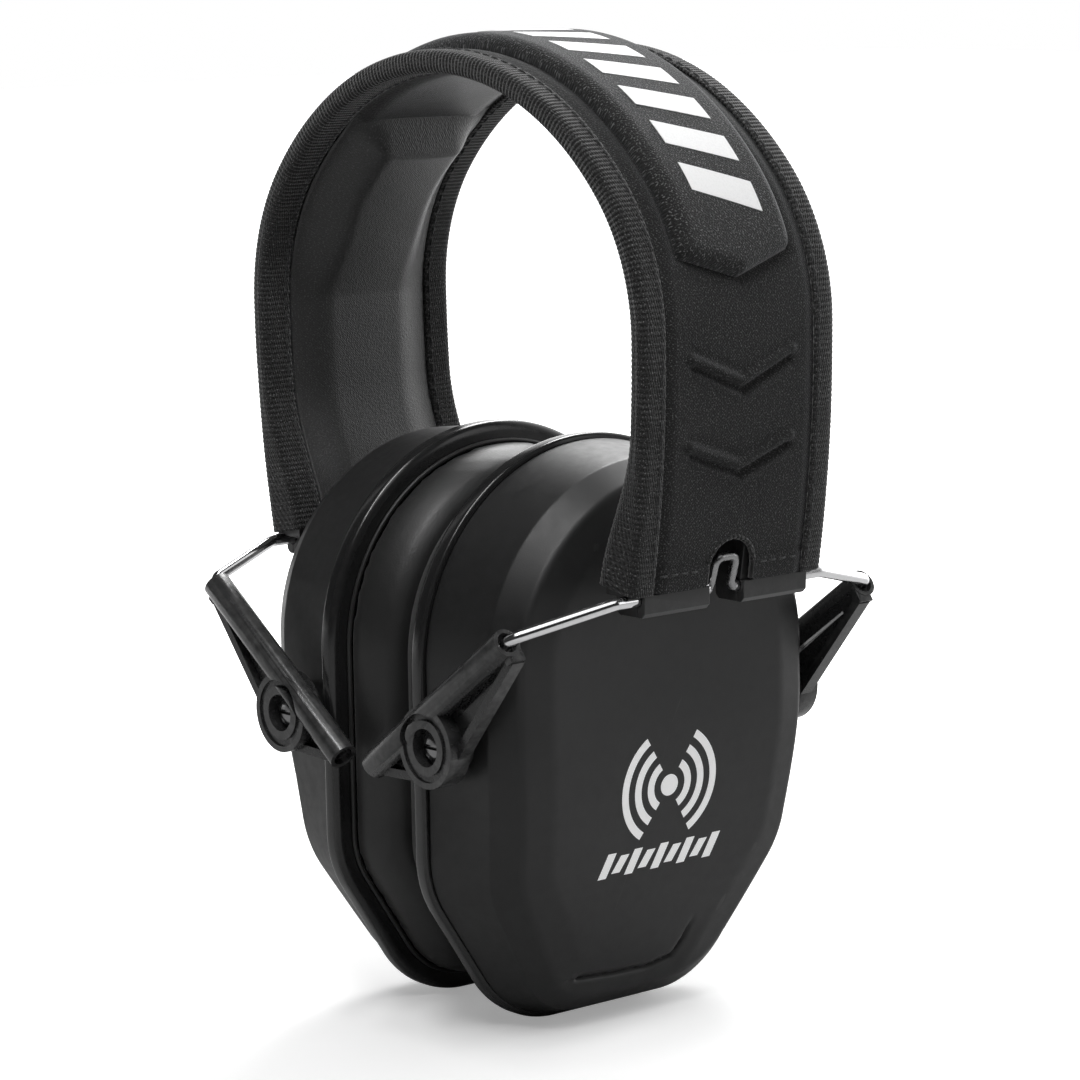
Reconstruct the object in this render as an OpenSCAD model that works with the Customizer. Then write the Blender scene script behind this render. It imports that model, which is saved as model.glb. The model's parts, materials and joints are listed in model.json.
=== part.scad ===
// Slim folding earmuff hearing protector.
// +X runs from ear to ear, +Y is the rear edge of the band, +Z is up.
// Origin: midway between the two cups, on the plane the cups stand on.

/* [Headband] */
// Height of the outer band surface at the crown
crown_z = 175.8; // [174:0.2:178]
// Largest half width of the outer band surface
band_half_x = 56.8; // [56.5:0.1:57.5]
// Radius of the crown arc
crown_r = 62; // [60:0.5:64]
// Angle from vertical at which the crown arc ends
crown_a = 50; // [46:1:54]
// Radius of the long arc of each leg
leg_r = 240; // [220:5:300]
// Angle from vertical at which the fabric ends
end_a = 100.7; // [100:0.1:101]
// Width of the band, front to back
band_w = 44.6; // [44:0.2:46]
// Thickness of the band at its edge
edge_t = 4.15; // [4:0.05:5]
// Extra thickness at the lower end, around the end yoke
end_extra_t = 5.2; // [5:0.1:6]
// Width of the binding tape on the outer face
bind_out = 5; // [4:0.5:6]
// Width of the binding tape on the inner face
bind_in = 6; // [5:0.5:7]
// Thickness of the binding tape
bind_t = 0.5; // [0.4:0.1:0.6]
// Height of the raised crown panel
crown_panel_h = 2.8; // [2:0.2:3.6]
// Half width of the raised crown panel
crown_panel_w = 12.6; // [11:0.2:14]
// Height of the comfort pads at their upper end
pad_h = 6; // [4:0.5:7]

/* [Bail] */
// Distance of the bail journal from the middle plane
bail_x = 50.2; // [50:0.1:50.4]
// Height of the bail journal
bail_z = 82.5; // [82:0.1:83]
// Slope of the bail below horizontal at rest
bail_slope = 35.3; // [34:0.1:37]
// Diameter of the steel wire
wire_d = 2.2; // [2:0.1:2.4]
// Length of the crank in the middle of the journal
crank_l = 6; // [5:0.2:6]
// Where the wire leaves the straight journal
journal_y = 24; // [23.6:0.1:25]
// How far the wire legs reach along the bail
leg_l = 50; // [48:0.5:52]

/* [Pivot arms] */
// Distance of the arm tubes from the middle plane
arm_y = 41.9; // [41.9:0.1:43]
// Outside diameter of the arm tube
tube_d = 5.2; // [4.8:0.1:5.4]
// Where the tube begins, along the bail
tube_s0 = 9; // [9:0.2:10.4]
// Length of the tube
tube_l = 46.8; // [46:0.2:47]
// Place of the pivot boss along the bail
boss_s = 38.6; // [38.4:0.1:40]
// Offset of the pivot boss below the tube
boss_n = 5; // [4.9:0.1:5.4]
// Outside diameter of the pivot boss
boss_d = 14.6; // [13.8:0.2:15]

/* [Cups] */
// Distance of the cushion mounting face from the middle plane
plate_x = 11.3; // [11:0.1:12]
// Thickness of the back plate rim
plate_t = 3.5; // [3.2:0.1:3.5]
// Largest half width of a cup
cup_half_w = 39; // [38:0.1:39]
// Height of a cup
cup_h = 106.5; // [104:0.5:108]
// Depth of the outer shell beyond the rim
shell_d = 22; // [20:0.5:22]
// Wall of the outer shell
shell_wall = 2.2; // [2:0.1:2.6]
// How much thinner the cup gets at the bottom
foot_taper = 0.6; // [0.5:0.02:0.7]
// Gap between the two cushions at rest
cushion_gap = 0.6; // [0.4:0.1:1]
// Width of a cushion roll
cushion_w = 15; // [14:0.5:16]

/* [Hidden] */
$fn = 48;
hw = band_w / 2;
NR = 44;                                   // points round a cup ring
wr = wire_d / 2;
cz1 = crown_z - crown_r;
p1x = crown_r * sin(crown_a);
p1z = cz1 + crown_r * cos(crown_a);
sh_r = (band_half_x - p1x) / (1 - sin(crown_a));
wz = p1z - sh_r * cos(crown_a);            // height of the widest point
piv_x = bail_x - boss_s * cos(bail_slope) + boss_n * sin(bail_slope);
piv_z = bail_z - boss_s * sin(bail_slope) - boss_n * cos(bail_slope);

// ---- band path: a is the angle of the outward normal from vertical, t the depth below it
function P(a, t) = let (s = a < 0 ? -1 : 1, b = abs(a))
  b <= crown_a ? [s * (crown_r - t) * sin(b), cz1 + (crown_r - t) * cos(b)]
  : b <= 90 ? [s * (p1x - sh_r * sin(crown_a) + (sh_r - t) * sin(b)), p1z - sh_r * cos(crown_a) + (sh_r - t) * cos(b)]
  : [s * (band_half_x - leg_r + (leg_r - t) * sin(b)), wz + (leg_r - t) * cos(b)];
function ramp(u) = let (c = min(1, max(0, u))) c * c * (3 - 2 * c);
function tin(a) = edge_t + end_extra_t * ramp((abs(a) - 94) / (end_a - 94));
// sample angles, closer together where the arcs are long
function grid() = concat([for (k = [8 : -1 : 1]) -90 - k * 1.3], [for (a = [-90 : 5 : 90]) a], [for (k = [1 : 8]) 90 + k * 1.3]);
function span(a0, a1) = concat([a0], [for (a = grid()) if (a > a0 + 0.3 && a < a1 - 0.3) a], [a1]);
function rev(v) = [for (i = [len(v) - 1 : -1 : 0]) v[i]];

module extrude_y(y0, y1) translate([0, y1, 0]) rotate([90, 0, 0]) linear_extrude(y1 - y0) children();
// strip of constant depth t0..t1
module strip(a0, a1, t0, t1, y0, y1)
  extrude_y(y0, y1) polygon(concat([for (a = span(a0, a1)) P(a, t0)], rev([for (a = span(a0, a1)) P(a, t1)])));
// strip whose depth is measured from the inner face of the band
module inner_strip(a0, a1, d0, d1, y0, y1)
  extrude_y(y0, y1) polygon(concat([for (a = span(a0, a1)) P(a, tin(a) - d0)], rev([for (a = span(a0, a1)) P(a, tin(a) - d1)])));

// closed rings joined into a solid, each end closed by a fan about its centre
module loft(r) {
  n = len(r[0]); m = len(r); one = [for (i = [1 : n]) 1 / n];
  polyhedron(concat([for (q = r) for (p = q) p], [one * r[0], one * r[m - 1]]),
    concat([for (i = [0 : n - 1]) [n * m, i, (i + 1) % n]],
      [for (j = [0 : m - 2]) for (i = [0 : n - 1]) let (k = (i + 1) % n) each
        [[j * n + i, (j + 1) * n + i, (j + 1) * n + k], [j * n + i, (j + 1) * n + k, j * n + k]]],
      [for (i = [0 : n - 1]) [n * m + 1, (m - 1) * n + (i + 1) % n, (m - 1) * n + i]]));
}

// ---- cup outline: hull of circles, found from its support points; o is the offset
function circ() = [[0, cup_h - cup_half_w, cup_half_w], [19, 34, cup_half_w - 19], [-19, 34, cup_half_w - 19], [10, 20, 20], [-10, 20, 20]];
function best(c, n, i = 0, k = 0, v = -1e9) = i == len(c) ? k
  : let (w = c[i][0] * n[0] + c[i][1] * n[1] + c[i][2]) w > v + 1e-6 ? best(c, n, i + 1, i, w) : best(c, n, i + 1, k, v);
function outline(o) = [for (i = [0 : NR - 1]) let (a = 360 * (i + 0.5) / NR - 90, n = [cos(a), sin(a)], c = circ(), k = best(c, n))
  [c[k][0] + (c[k][2] + o) * n[0], c[k][1] + (c[k][2] + o) * n[1]]];
function depth_k(z) = 1 - foot_taper * pow(max(0, (57 - z) / 57), 1.6);
x_rim = plate_x + plate_t;
// ring at fraction f of the shell's depth, w short of the outer face
function ring(f, o, w = 0) = [for (p = outline(o))
  [x_rim + 0.05 + f * (shell_d * depth_k(p[1]) - w), p[0] * (1 - 0.075 * f * ramp((60 - p[1]) / 34)), p[1]]];
function flat_ring(x, o) = [for (p = outline(o)) [x, p[0], p[1]]];
module plate(x0, x1, o) translate([x0, 0, 0]) rotate([90, 0, 90]) linear_extrude(x1 - x0) polygon(outline(o));

module both(side) if (side > 0) children(); else mirror([1, 0, 0]) children();
module at_bail() translate([bail_x, 0, bail_z]) rotate([0, 180 - bail_slope, 0]) children();

// ================= headband =================
module spring_band() color([0.55, 0.56, 0.58]) difference() {
  strip(-98, 98, 2.0, 2.9, -15, 15);
  for (s = [-1, 1], y = [-9, 9]) let (p = P(97.2, 0)) both(s)
    translate([p[0], y, p[1]]) rotate([0, 97.2, 0]) translate([0, 0, -6]) cylinder(h = 8, r = 1.45);
}
module window_cut() {
  translate([0, 0, bail_z + 4]) rotate([0, 90, 0]) cylinder(h = 70, r = 5.5);
  translate([0, -5.5, bail_z - 14]) cube([70, 11, 18]);
}
module band_outer_cover() color([0.13, 0.13, 0.14]) difference() {
  strip(-end_a, end_a, 0.55, 1.35, -hw + 0.55, hw - 0.55);
  for (s = [-1, 1]) both(s) window_cut();
}
module band_liner() color([0.17, 0.17, 0.18]) inner_strip(-end_a, end_a, 1.2, 0.55, -hw + 0.55, hw - 0.55);

module crown_ring_solid(d, h0, h1, e)
  loft([for (a = concat([-77 + e, -75, -72.5], [for (k = [-68 : 4 : 68]) k], [72.5, 75, 77 - e]))
    let (w = abs(a) <= 72.5 ? crown_panel_w - d : max(0.8, (crown_panel_w - d) * (77.4 - abs(a)) / 4.9),
         b = min(w - 0.4, 1.2), q0 = P(a, -h0), q1 = P(a, -h1), qm = P(a, -h0 - (h1 - h0) * 0.45))
      [[q0[0], w, q0[1]], [qm[0], w, qm[1]], [q1[0], w - b, q1[1]], [q1[0], -w + b, q1[1]], [qm[0], -w, qm[1]], [q0[0], -w, q0[1]]]]);
module crown_panel() color([0.14, 0.14, 0.15]) difference() {
  crown_ring_solid(0, -0.5, crown_panel_h, 0);
  strip(-68, 68, -crown_panel_h + 1, 0.6, -crown_panel_w + 2, crown_panel_w - 2);
}
module crown_foam() color([0.3, 0.3, 0.32]) strip(-67.6, 67.6, -crown_panel_h + 1.08, 0.45, -crown_panel_w + 2.1, crown_panel_w - 2.1);

module comfort_pad() {
  w = hw - bind_in - 0.1;
  loft([for (a = span(46, end_a))
    let (h = 0.3 + (pad_h - 0.3) * ramp((a - 45) / 8) * (1 - 0.8 * ramp((a - 66) / (end_a - 66))),
         t0 = tin(a) - 0.5, t1 = tin(a) - 0.5 + h, b = min(3.4, h * 0.9 + 0.2), q0 = P(a, t0), q1 = P(a, t1))
      [[q0[0], -w, q0[1]], [q1[0], -w + b, q1[1]], [q1[0], w - b, q1[1]], [q0[0], w, q0[1]]]]);
}
module comfort_pad_right() color([0.2, 0.2, 0.21]) comfort_pad();
module comfort_pad_left() color([0.2, 0.2, 0.21]) mirror([1, 0, 0]) comfort_pad();

module edge_binding() {
  strip(-end_a, end_a, 0, bind_t, hw - bind_out, hw);
  extrude_y(hw - 0.5, hw) polygon(concat([for (a = span(-end_a, end_a)) P(a, 0)], rev([for (a = span(-end_a, end_a)) P(a, tin(a))])));
  inner_strip(-end_a, end_a, bind_t, 0, hw - bind_in, hw);
}
module edge_binding_rear() color([0.1, 0.1, 0.11]) edge_binding();
module edge_binding_front() color([0.1, 0.1, 0.11]) mirror([0, 1, 0]) edge_binding();

// ---- end yoke: moulded plug in each band end that carries the wire journal
tab_z = bail_z - 3;
module yoke_block(grow) {
  pe = P(end_a, 0.35); pi = P(end_a, tin(end_a) - 1.25);
  difference() { extrude_y(-hw + 0.7, hw - 0.7) polygon(concat(
    [for (a = [96.5, 97.8, 98.3]) P(a, 2.95)], [for (a = [98.3, 99.4, end_a - 0.05]) P(a, 1.4)],
    [[P(end_a, 1.4)[0], pe[1] - 0.15], [pe[0] - 0.1, pe[1] - 0.15], [pe[0] - 0.2, tab_z + 0.8], [pe[0] - 1, tab_z],
     [pi[0] + 0.8, tab_z], [pi[0], tab_z + 0.8]],
    rev([for (a = span(96.5, end_a)) P(a, tin(a) - 1.25)])));
    for (k = [0, 1]) mirror([0, k, 0]) translate([30, 19, tab_z - 1]) cube([40, 10, pe[1] - tab_z + 0.7]);
  }
}
module yoke_bores() {
  translate([bail_x, 0, bail_z]) rotate([90, 0, 0]) cylinder(h = 60, r = wr + 0.07, center = true);
  translate([30, -4, bail_z - 14]) cube([40, 8, 22.6]);
  p = P(97.2, 0);
  for (y = [-9, 9]) {
    translate([p[0], y, p[1]]) rotate([0, 97.2, 0]) translate([0, 0, -8]) cylinder(h = 10, r = 1.45);
    translate([p[0], y, p[1]]) rotate([0, 97.2, 0]) translate([0, 0, -8]) cylinder(h = 4, r = 2.5);
  }
  for (y = [-13, 13]) translate([40, y, bail_z + 5.4]) rotate([0, 90, 0]) {
    cylinder(h = 20, r = 1.45);
    cylinder(h = bail_x - 43.3, r = 2.5);
  }
}
module end_yoke() difference() {
  yoke_block(0);
  yoke_bores();
  translate([30, -30, bail_z - 10]) cube([bail_x - 30, 60, 19.2]);
}
module yoke_keeper() difference() {
  intersection() { yoke_block(0); translate([30, -hw + 1, bail_z - 10]) cube([bail_x - 30 - 0.06, 2 * hw - 2, 19.1]); }
  yoke_bores();
}
module yoke_rivets() {
  p = P(97.2, 0);
  for (y = [-9, 9]) translate([p[0], y, p[1]]) rotate([0, 97.2, 0]) {
    translate([0, 0, -1.96]) cylinder(h = 0.5, r = 2.4);
    translate([0, 0, -4.4]) cylinder(h = 2.7, r = 1.4);
    translate([0, 0, -4.5]) cylinder(h = 0.45, r = 2.4);
  }
  for (y = [-13, 13]) translate([0, y, bail_z + 5.4]) rotate([0, 90, 0]) {
    translate([0, 0, bail_x - 3.92]) cylinder(h = 0.57, r = 2.4);
    translate([0, 0, bail_x - 3.8]) cylinder(h = 5.4, r = 1.4);
  }
}
module end_yoke_right() color([0.12, 0.12, 0.13]) end_yoke();
module end_yoke_left() color([0.12, 0.12, 0.13]) mirror([1, 0, 0]) end_yoke();
module yoke_keeper_right() color([0.16, 0.16, 0.17]) yoke_keeper();
module yoke_keeper_left() color([0.16, 0.16, 0.17]) mirror([1, 0, 0]) yoke_keeper();
module yoke_rivets_right() color([0.7, 0.7, 0.72]) yoke_rivets();
module yoke_rivets_left() color([0.7, 0.7, 0.72]) mirror([1, 0, 0]) yoke_rivets();

// ================= wire bail =================
module rod(p, q, r) {
  d = q - p; l = norm(d);
  translate(p) rotate([0, acos(d[2] / l), atan2(d[1], d[0])]) cylinder(h = l, r = r);
}
module wire_bail() at_bail() {
  ca = 180 - 72 + bail_slope;               // crank stands 72 degrees up at rest
  cd = [cos(ca) * crank_l, 0, -sin(ca) * crank_l];
  pts = [[leg_l, arm_y, 0], [7.8, arm_y, 0], [0, journal_y, 0], [0, 2.4, 0], [cd[0], 2.4, cd[2]]];
  for (s = [-1, 1]) {
    q = [for (p = pts) [p[0], s * p[1], p[2]]];
    for (i = [0 : 3]) rod(q[i], q[i + 1], wr);
    for (i = [1 : 4]) translate(q[i]) rotate([0, 0, s * 57]) rotate([38, 0, 0]) sphere(r = wr + 0.04);
  }
  rod([cd[0], -2.4, cd[2]], [cd[0], 2.4, cd[2]], wr);
}
module wire_bail_right() color([0.78, 0.79, 0.8]) wire_bail();
module wire_bail_left() color([0.78, 0.79, 0.8]) mirror([1, 0, 0]) wire_bail();

// ================= pivot arm (rear one of the right cup) =================
y_in = arm_y - tube_d / 2;                  // inner side of the arm
module pivot_arm() at_bail() difference() {
  union() {
    translate([tube_s0, arm_y, 0]) rotate([0, 90, 0]) cylinder(h = tube_l, r = tube_d / 2);
    translate([boss_s, y_in, boss_n]) rotate([-90, 0, 0]) cylinder(h = 4.4, r = boss_d / 2);
    // thin web between the tube, the boss and the outer rib
    translate([0, y_in + 1.5, 0]) rotate([90, 0, 0]) linear_extrude(1.2)
      polygon([[tube_s0 + 0.6, 0], [tube_s0 + 0.6, 2.8], [boss_s - 5.2, boss_n + 4.2], [boss_s + 4.6, boss_n + 4.4], [tube_s0 + tube_l - 0.8, 1.2], [tube_s0 + tube_l - 0.8, 0]]);
    rib([tube_s0 + 0.9, 3], [boss_s - 4.2, boss_n + 4.6]);
    rib([boss_s + 3.4, boss_n + 4.9], [tube_s0 + tube_l - 1, 1.6]);
    // short stop between the tube mouth and the outer rib
    translate([tube_s0 + 0.1, y_in + 0.1, 0]) cube([1.6, 3.2, 3.6]);
  }
  translate([tube_s0 - 1, arm_y, 0]) rotate([0, 90, 0]) cylinder(h = tube_l + 2, r = wr + 0.05);
  // bell mouths
  for (q = [tube_s0 - 1, tube_s0 + tube_l - 1.2]) translate([q, arm_y, 0]) rotate([0, 90, 0]) cylinder(h = 2.2, r = tube_d / 2 - 0.75);
  // open slot between the tube and the web
  translate([0, y_in + 6, 0]) rotate([90, 0, 0]) linear_extrude(8)
    polygon([[tube_s0 + 5.5, tube_d / 2 + 0.05], [boss_s - 9, tube_d / 2 + 0.05], [boss_s - 8, tube_d / 2 + 1], [tube_s0 + 5.5, tube_d / 2 + 0.5]]);
  translate([boss_s, y_in - 1, boss_n]) rotate([-90, 0, 0]) cylinder(h = 10, r = 2.25);
  translate([boss_s, y_in + 1.6, boss_n]) rotate([-90, 0, 0]) cylinder(h = 10, r = 3.4);
  translate([boss_s, y_in + 4, boss_n]) rotate([-90, 0, 0]) difference() { cylinder(h = 2, r = 6.2); translate([0, 0, -1]) cylinder(h = 4, r = 5); }
}
module rib(p, q) {
  d = q - p;
  translate([p[0], y_in + 0.1, p[1]]) rotate([0, -atan2(d[1], d[0]), 0]) translate([0, 0, -0.8]) cube([norm(d), 2.7, 1.6]);
}
module pivot_arm_rear_right() color([0.16, 0.16, 0.17]) pivot_arm();
module pivot_arm_front_right() color([0.16, 0.16, 0.17]) mirror([0, 1, 0]) pivot_arm();
module pivot_arm_rear_left() color([0.16, 0.16, 0.17]) mirror([1, 0, 0]) pivot_arm();
module pivot_arm_front_left() color([0.16, 0.16, 0.17]) mirror([1, 0, 0]) mirror([0, 1, 0]) pivot_arm();

module at_pivot(s) translate([piv_x, 0, piv_z]) rotate([s > 0 ? -90 : 90, 0, 0]) children();
module pivot_screws() for (s = [-1, 1]) at_pivot(s) difference() {
  union() {
    translate([0, 0, y_in - 3]) cylinder(h = 5.4, r = 1.2);
    translate([0, 0, y_in + 2.3]) cylinder(h = 1.1, r = 2.6);
  }
  translate([-0.4, -4, y_in + 2.85]) cube([0.8, 8, 2]);
}
module pivot_washers() for (s = [-1, 1]) at_pivot(s) difference() {
  translate([0, 0, y_in + 1.85]) cylinder(h = 0.35, r = 3.3);
  cylinder(h = 60, r = 1.3);
}
module pivot_screws_right() color([0.3, 0.3, 0.31]) pivot_screws();
module pivot_screws_left() color([0.3, 0.3, 0.31]) mirror([1, 0, 0]) pivot_screws();
module pivot_washers_right() color([0.2, 0.2, 0.2]) pivot_washers();
module pivot_washers_left() color([0.2, 0.2, 0.2]) mirror([1, 0, 0]) pivot_washers();

// ================= cup =================
sx = x_rim + 0.05;
module cup_shell() difference() {
  union() {
    difference() {
      loft([ring(0, -1.5), ring(0.33, -2.1), ring(0.67, -2.8), ring(0.8, -4.1), ring(0.93, -5.9), ring(0.985, -10.5), ring(1, -19)]);
      loft([flat_ring(sx - 1, -1.5 - shell_wall), ring(0.2, -1.5 - shell_wall, shell_wall), ring(0.69, -4.1 - shell_wall, shell_wall),
        ring(0.83, -7 - shell_wall, shell_wall), ring(1, -13, shell_wall)]);
    }
    for (s = [-1, 1]) at_pivot(s) {
      translate([0, 0, cup_half_w - 7]) cylinder(h = y_in - 0.1 - cup_half_w + 7, r = 5);
      translate([0, 0, cup_half_w - 5]) cylinder(h = y_in + 1.8 - cup_half_w + 5, r = 2.2);
    }
  }
  for (s = [-1, 1]) at_pivot(s) translate([0, 0, y_in - 3.4]) cylinder(h = 10, r = 1.25);
}
module cup_shell_right() color([0.15, 0.15, 0.155]) cup_shell();
module cup_shell_left() color([0.15, 0.15, 0.155]) mirror([1, 0, 0]) cup_shell();

ear_o = -3.4 - cushion_w;                   // offset of the ear opening
module back_plate() difference() {
  union() {
    plate(plate_x, x_rim, 0);
    plate(x_rim - 0.5, x_rim + 0.8, -1.5 - shell_wall - 0.25);
  }
  plate(plate_x - 1, x_rim + 3, ear_o + 2);
  difference() { plate(plate_x - 1, plate_x + 1.6, -9); plate(plate_x - 2, plate_x + 2, -11.5); }
}
module back_plate_right() color([0.12, 0.12, 0.125]) back_plate();
module back_plate_left() color([0.12, 0.12, 0.125]) mirror([1, 0, 0]) back_plate();

// clip ring that holds a cushion: flat ring in the cushion root, tongue in the plate's groove
module cushion_ring() {
  difference() { plate(plate_x - 1.6, plate_x - 0.05, -7); plate(plate_x - 3, plate_x + 1, ear_o + 2); }
  difference() { plate(plate_x - 0.6, plate_x + 1.5, -9.1); plate(plate_x - 3, plate_x + 3, -11.4); }
}
module cushion_ring_right() color([0.25, 0.25, 0.26]) cushion_ring();
module cushion_ring_left() color([0.25, 0.25, 0.26]) mirror([1, 0, 0]) cushion_ring();

cf = cushion_gap / 2;                       // cushion face
ct = plate_x - 0.05 - cf;                   // cushion thickness
module roll(o, g) // outer body of a cushion, shrunk by g
  loft([flat_ring(cf + g, o - 5 - g), flat_ring(cf + 1.2 + g * 0.8, o - 3.2 - g), flat_ring(cf + 3.4, o - 1.4 - g),
    flat_ring(cf + 6, o - 0.3 - g), flat_ring(cf + 8.4, o - g), flat_ring(plate_x - 0.05 - g * 0.01, o - 0.7 - g)]);
module ear_cushion_cover() difference() {
  roll(-4.4, 0);
  plate(-1, plate_x + 1, ear_o);
  difference() { roll(-4.4, 0.8); plate(-1, plate_x + 1, ear_o + 0.8); }
  difference() { plate(plate_x - 1.7, plate_x + 1, -6.9); plate(-1, plate_x + 2, ear_o + 0.8); }
}
module ear_cushion_cover_right() color([0.1, 0.1, 0.105]) ear_cushion_cover();
module ear_cushion_cover_left() color([0.1, 0.1, 0.105]) mirror([1, 0, 0]) ear_cushion_cover();
module ear_cushion_foam() difference() {
  roll(-4.4, 0.9);
  plate(-1, plate_x + 1, ear_o + 0.9);
  plate(plate_x - 1.75, plate_x + 1, 2);
}
module ear_cushion_foam_right() color([0.45, 0.45, 0.47]) ear_cushion_foam();
module ear_cushion_foam_left() color([0.45, 0.45, 0.47]) mirror([1, 0, 0]) ear_cushion_foam();

module acoustic_foam() loft([ring(0.12, -8, shell_wall), ring(0.5, -8.5, shell_wall), ring(0.8, -12, shell_wall)]);
module acoustic_foam_right() color([0.35, 0.35, 0.37]) acoustic_foam();
module acoustic_foam_left() color([0.35, 0.35, 0.37]) mirror([1, 0, 0]) acoustic_foam();

spring_band();
band_outer_cover();
band_liner();
crown_panel();
crown_foam();
comfort_pad_left();
comfort_pad_right();
edge_binding_front();
edge_binding_rear();
end_yoke_left();
end_yoke_right();
yoke_keeper_left();
yoke_keeper_right();
yoke_rivets_left();
yoke_rivets_right();
wire_bail_left();
wire_bail_right();
pivot_arm_front_left();
pivot_arm_rear_left();
pivot_arm_front_right();
pivot_arm_rear_right();
pivot_screws_left();
pivot_screws_right();
pivot_washers_left();
pivot_washers_right();
cup_shell_left();
cup_shell_right();
back_plate_left();
back_plate_right();
cushion_ring_left();
cushion_ring_right();
ear_cushion_cover_left();
ear_cushion_cover_right();
ear_cushion_foam_left();
ear_cushion_foam_right();
acoustic_foam_left();
acoustic_foam_right();
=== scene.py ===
import bpy, bmesh, math, json
import numpy as np
from mathutils import Vector, Matrix

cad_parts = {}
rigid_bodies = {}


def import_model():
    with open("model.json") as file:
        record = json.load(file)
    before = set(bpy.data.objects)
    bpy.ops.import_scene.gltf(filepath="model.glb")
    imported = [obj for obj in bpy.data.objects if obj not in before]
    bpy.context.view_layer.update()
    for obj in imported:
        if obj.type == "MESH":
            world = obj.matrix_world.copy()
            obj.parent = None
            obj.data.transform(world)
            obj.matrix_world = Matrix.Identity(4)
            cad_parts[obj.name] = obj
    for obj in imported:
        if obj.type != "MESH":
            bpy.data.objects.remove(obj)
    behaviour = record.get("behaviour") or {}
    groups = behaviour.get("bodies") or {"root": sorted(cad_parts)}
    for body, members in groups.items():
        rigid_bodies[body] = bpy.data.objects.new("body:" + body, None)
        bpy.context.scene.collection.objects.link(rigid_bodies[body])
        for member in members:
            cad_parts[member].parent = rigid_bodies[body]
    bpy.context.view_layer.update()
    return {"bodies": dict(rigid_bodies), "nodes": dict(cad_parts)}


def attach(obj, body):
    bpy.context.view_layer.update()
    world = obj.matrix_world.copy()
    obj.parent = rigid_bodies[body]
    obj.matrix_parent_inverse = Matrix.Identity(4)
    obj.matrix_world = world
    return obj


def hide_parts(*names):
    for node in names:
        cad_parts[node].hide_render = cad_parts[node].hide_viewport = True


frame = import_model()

nodes = frame["nodes"]
MM = 0.001
scene = bpy.context.scene

# ------------------------------------------------------------------ helpers
def ramp(u):
    c = np.clip(u, 0.0, 1.0)
    return c * c * (3 - 2 * c)


def wob(x, y, k=1.0, ph=0.0):
    """smooth, fixed, cloth-like unevenness in -1..1"""
    x = x * k; y = y * k
    return (np.sin(0.31 * x + 0.17 * y + 1.3 + ph) + np.sin(-0.23 * x + 0.41 * y + 4.1 + 2 * ph)
            + np.sin(0.67 * x + 0.53 * y + 0.4 + 3 * ph) * 0.6 + np.sin(0.83 * x - 0.71 * y + 2.2 + ph) * 0.5) / 3.1


def make(name, V, F, mat, body, uv=None, sharp=None, reps=(), more=()):
    """V in mm; F faces; uv per vertex in mm"""
    me = bpy.data.meshes.new(name)
    me.from_pydata((np.asarray(V, float) * MM).tolist(), [], F)
    me.update()
    me.polygons.foreach_set("use_smooth", [True] * len(me.polygons))
    if uv is not None:
        lay = me.uv_layers.new(name="mm")
        idx = np.zeros(len(me.loops), int)
        me.loops.foreach_get("vertex_index", idx)
        lay.data.foreach_set("uv", np.asarray(uv, np.float32)[idx].ravel())
    if sharp is not None:
        me.set_sharp_from_angle(angle=math.radians(sharp))
    ob = bpy.data.objects.new(name, me)
    scene.collection.objects.link(ob)
    me.materials.append(mat)
    for m in more:
        me.materials.append(m)
    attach(ob, body)
    if reps:
        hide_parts(*reps)
    return ob


def grid_faces(nu, nv, off=0, flip=False, wrap_v=False):
    F = []
    last = nv if wrap_v else nv - 1
    for i in range(nu - 1):
        for j in range(last):
            k = (j + 1) % nv
            q = (off + i * nv + j, off + (i + 1) * nv + j, off + (i + 1) * nv + k, off + i * nv + k)
            F.append(q[::-1] if flip else q)
    return F


def sheet(top, bot):
    """closed solid between two (nu, nv, 3) grids"""
    nu, nv = top.shape[:2]
    V = np.concatenate([top.reshape(-1, 3), bot.reshape(-1, 3)])
    n = nu * nv
    F = grid_faces(nu, nv) + grid_faces(nu, nv, n, True)
    def wall(a, b):
        F.append((a, b, b + n, a + n))
    for j in range(nv - 1):
        wall(j + 1 - 1, j + 1)
        wall((nu - 1) * nv + j + 1, (nu - 1) * nv + j)
    for i in range(nu - 1):
        wall((i + 1) * nv, i * nv)
        wall(i * nv + nv - 1, (i + 1) * nv + nv - 1)
    return V, F


def sweep(R, closed=False):
    """rings R (m, n, 3) to a solid with flat ends"""
    m, n = R.shape[:2]
    V = R.reshape(-1, 3)
    F = grid_faces(m, n, wrap_v=True)
    if closed:
        for j in range(n):
            k = (j + 1) % n
            F.append(((m - 1) * n + j, j, k, (m - 1) * n + k))
    else:
        F.append(tuple(range(n)))
        F.append(tuple((m - 1) * n + j for j in range(n))[::-1])
    return V, F


def fix_normals(ob):
    bm = bmesh.new(); bm.from_mesh(ob.data)
    bmesh.ops.recalc_face_normals(bm, faces=bm.faces)
    bm.to_mesh(ob.data); bm.free()
    return ob


def join_data(parts):
    """parts: list of (V, F[, uv]) -> one"""
    V, F, U, o = [], [], [], 0
    for p in parts:
        V.append(np.asarray(p[0], float)); F += [tuple(i + o for i in f) for f in p[1]]
        if len(p) > 2:
            U.append(np.asarray(p[2], float))
        o += len(p[0])
    return np.concatenate(V), F, (np.concatenate(U) if U else None)


def bake(ob):
    """apply all modifiers of ob"""
    dg = bpy.context.evaluated_depsgraph_get()
    ev = ob.evaluated_get(dg)
    me = bpy.data.meshes.new_from_object(ev, preserve_all_data_layers=True, depsgraph=dg)
    old = ob.data
    ob.modifiers.clear()
    ob.data = me
    me.name = old.name + "_final"
    return ob


def mirror_x(V, F):
    V = np.array(V, float); V[:, 0] *= -1
    return V, [tuple(reversed(f)) for f in F]


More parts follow.
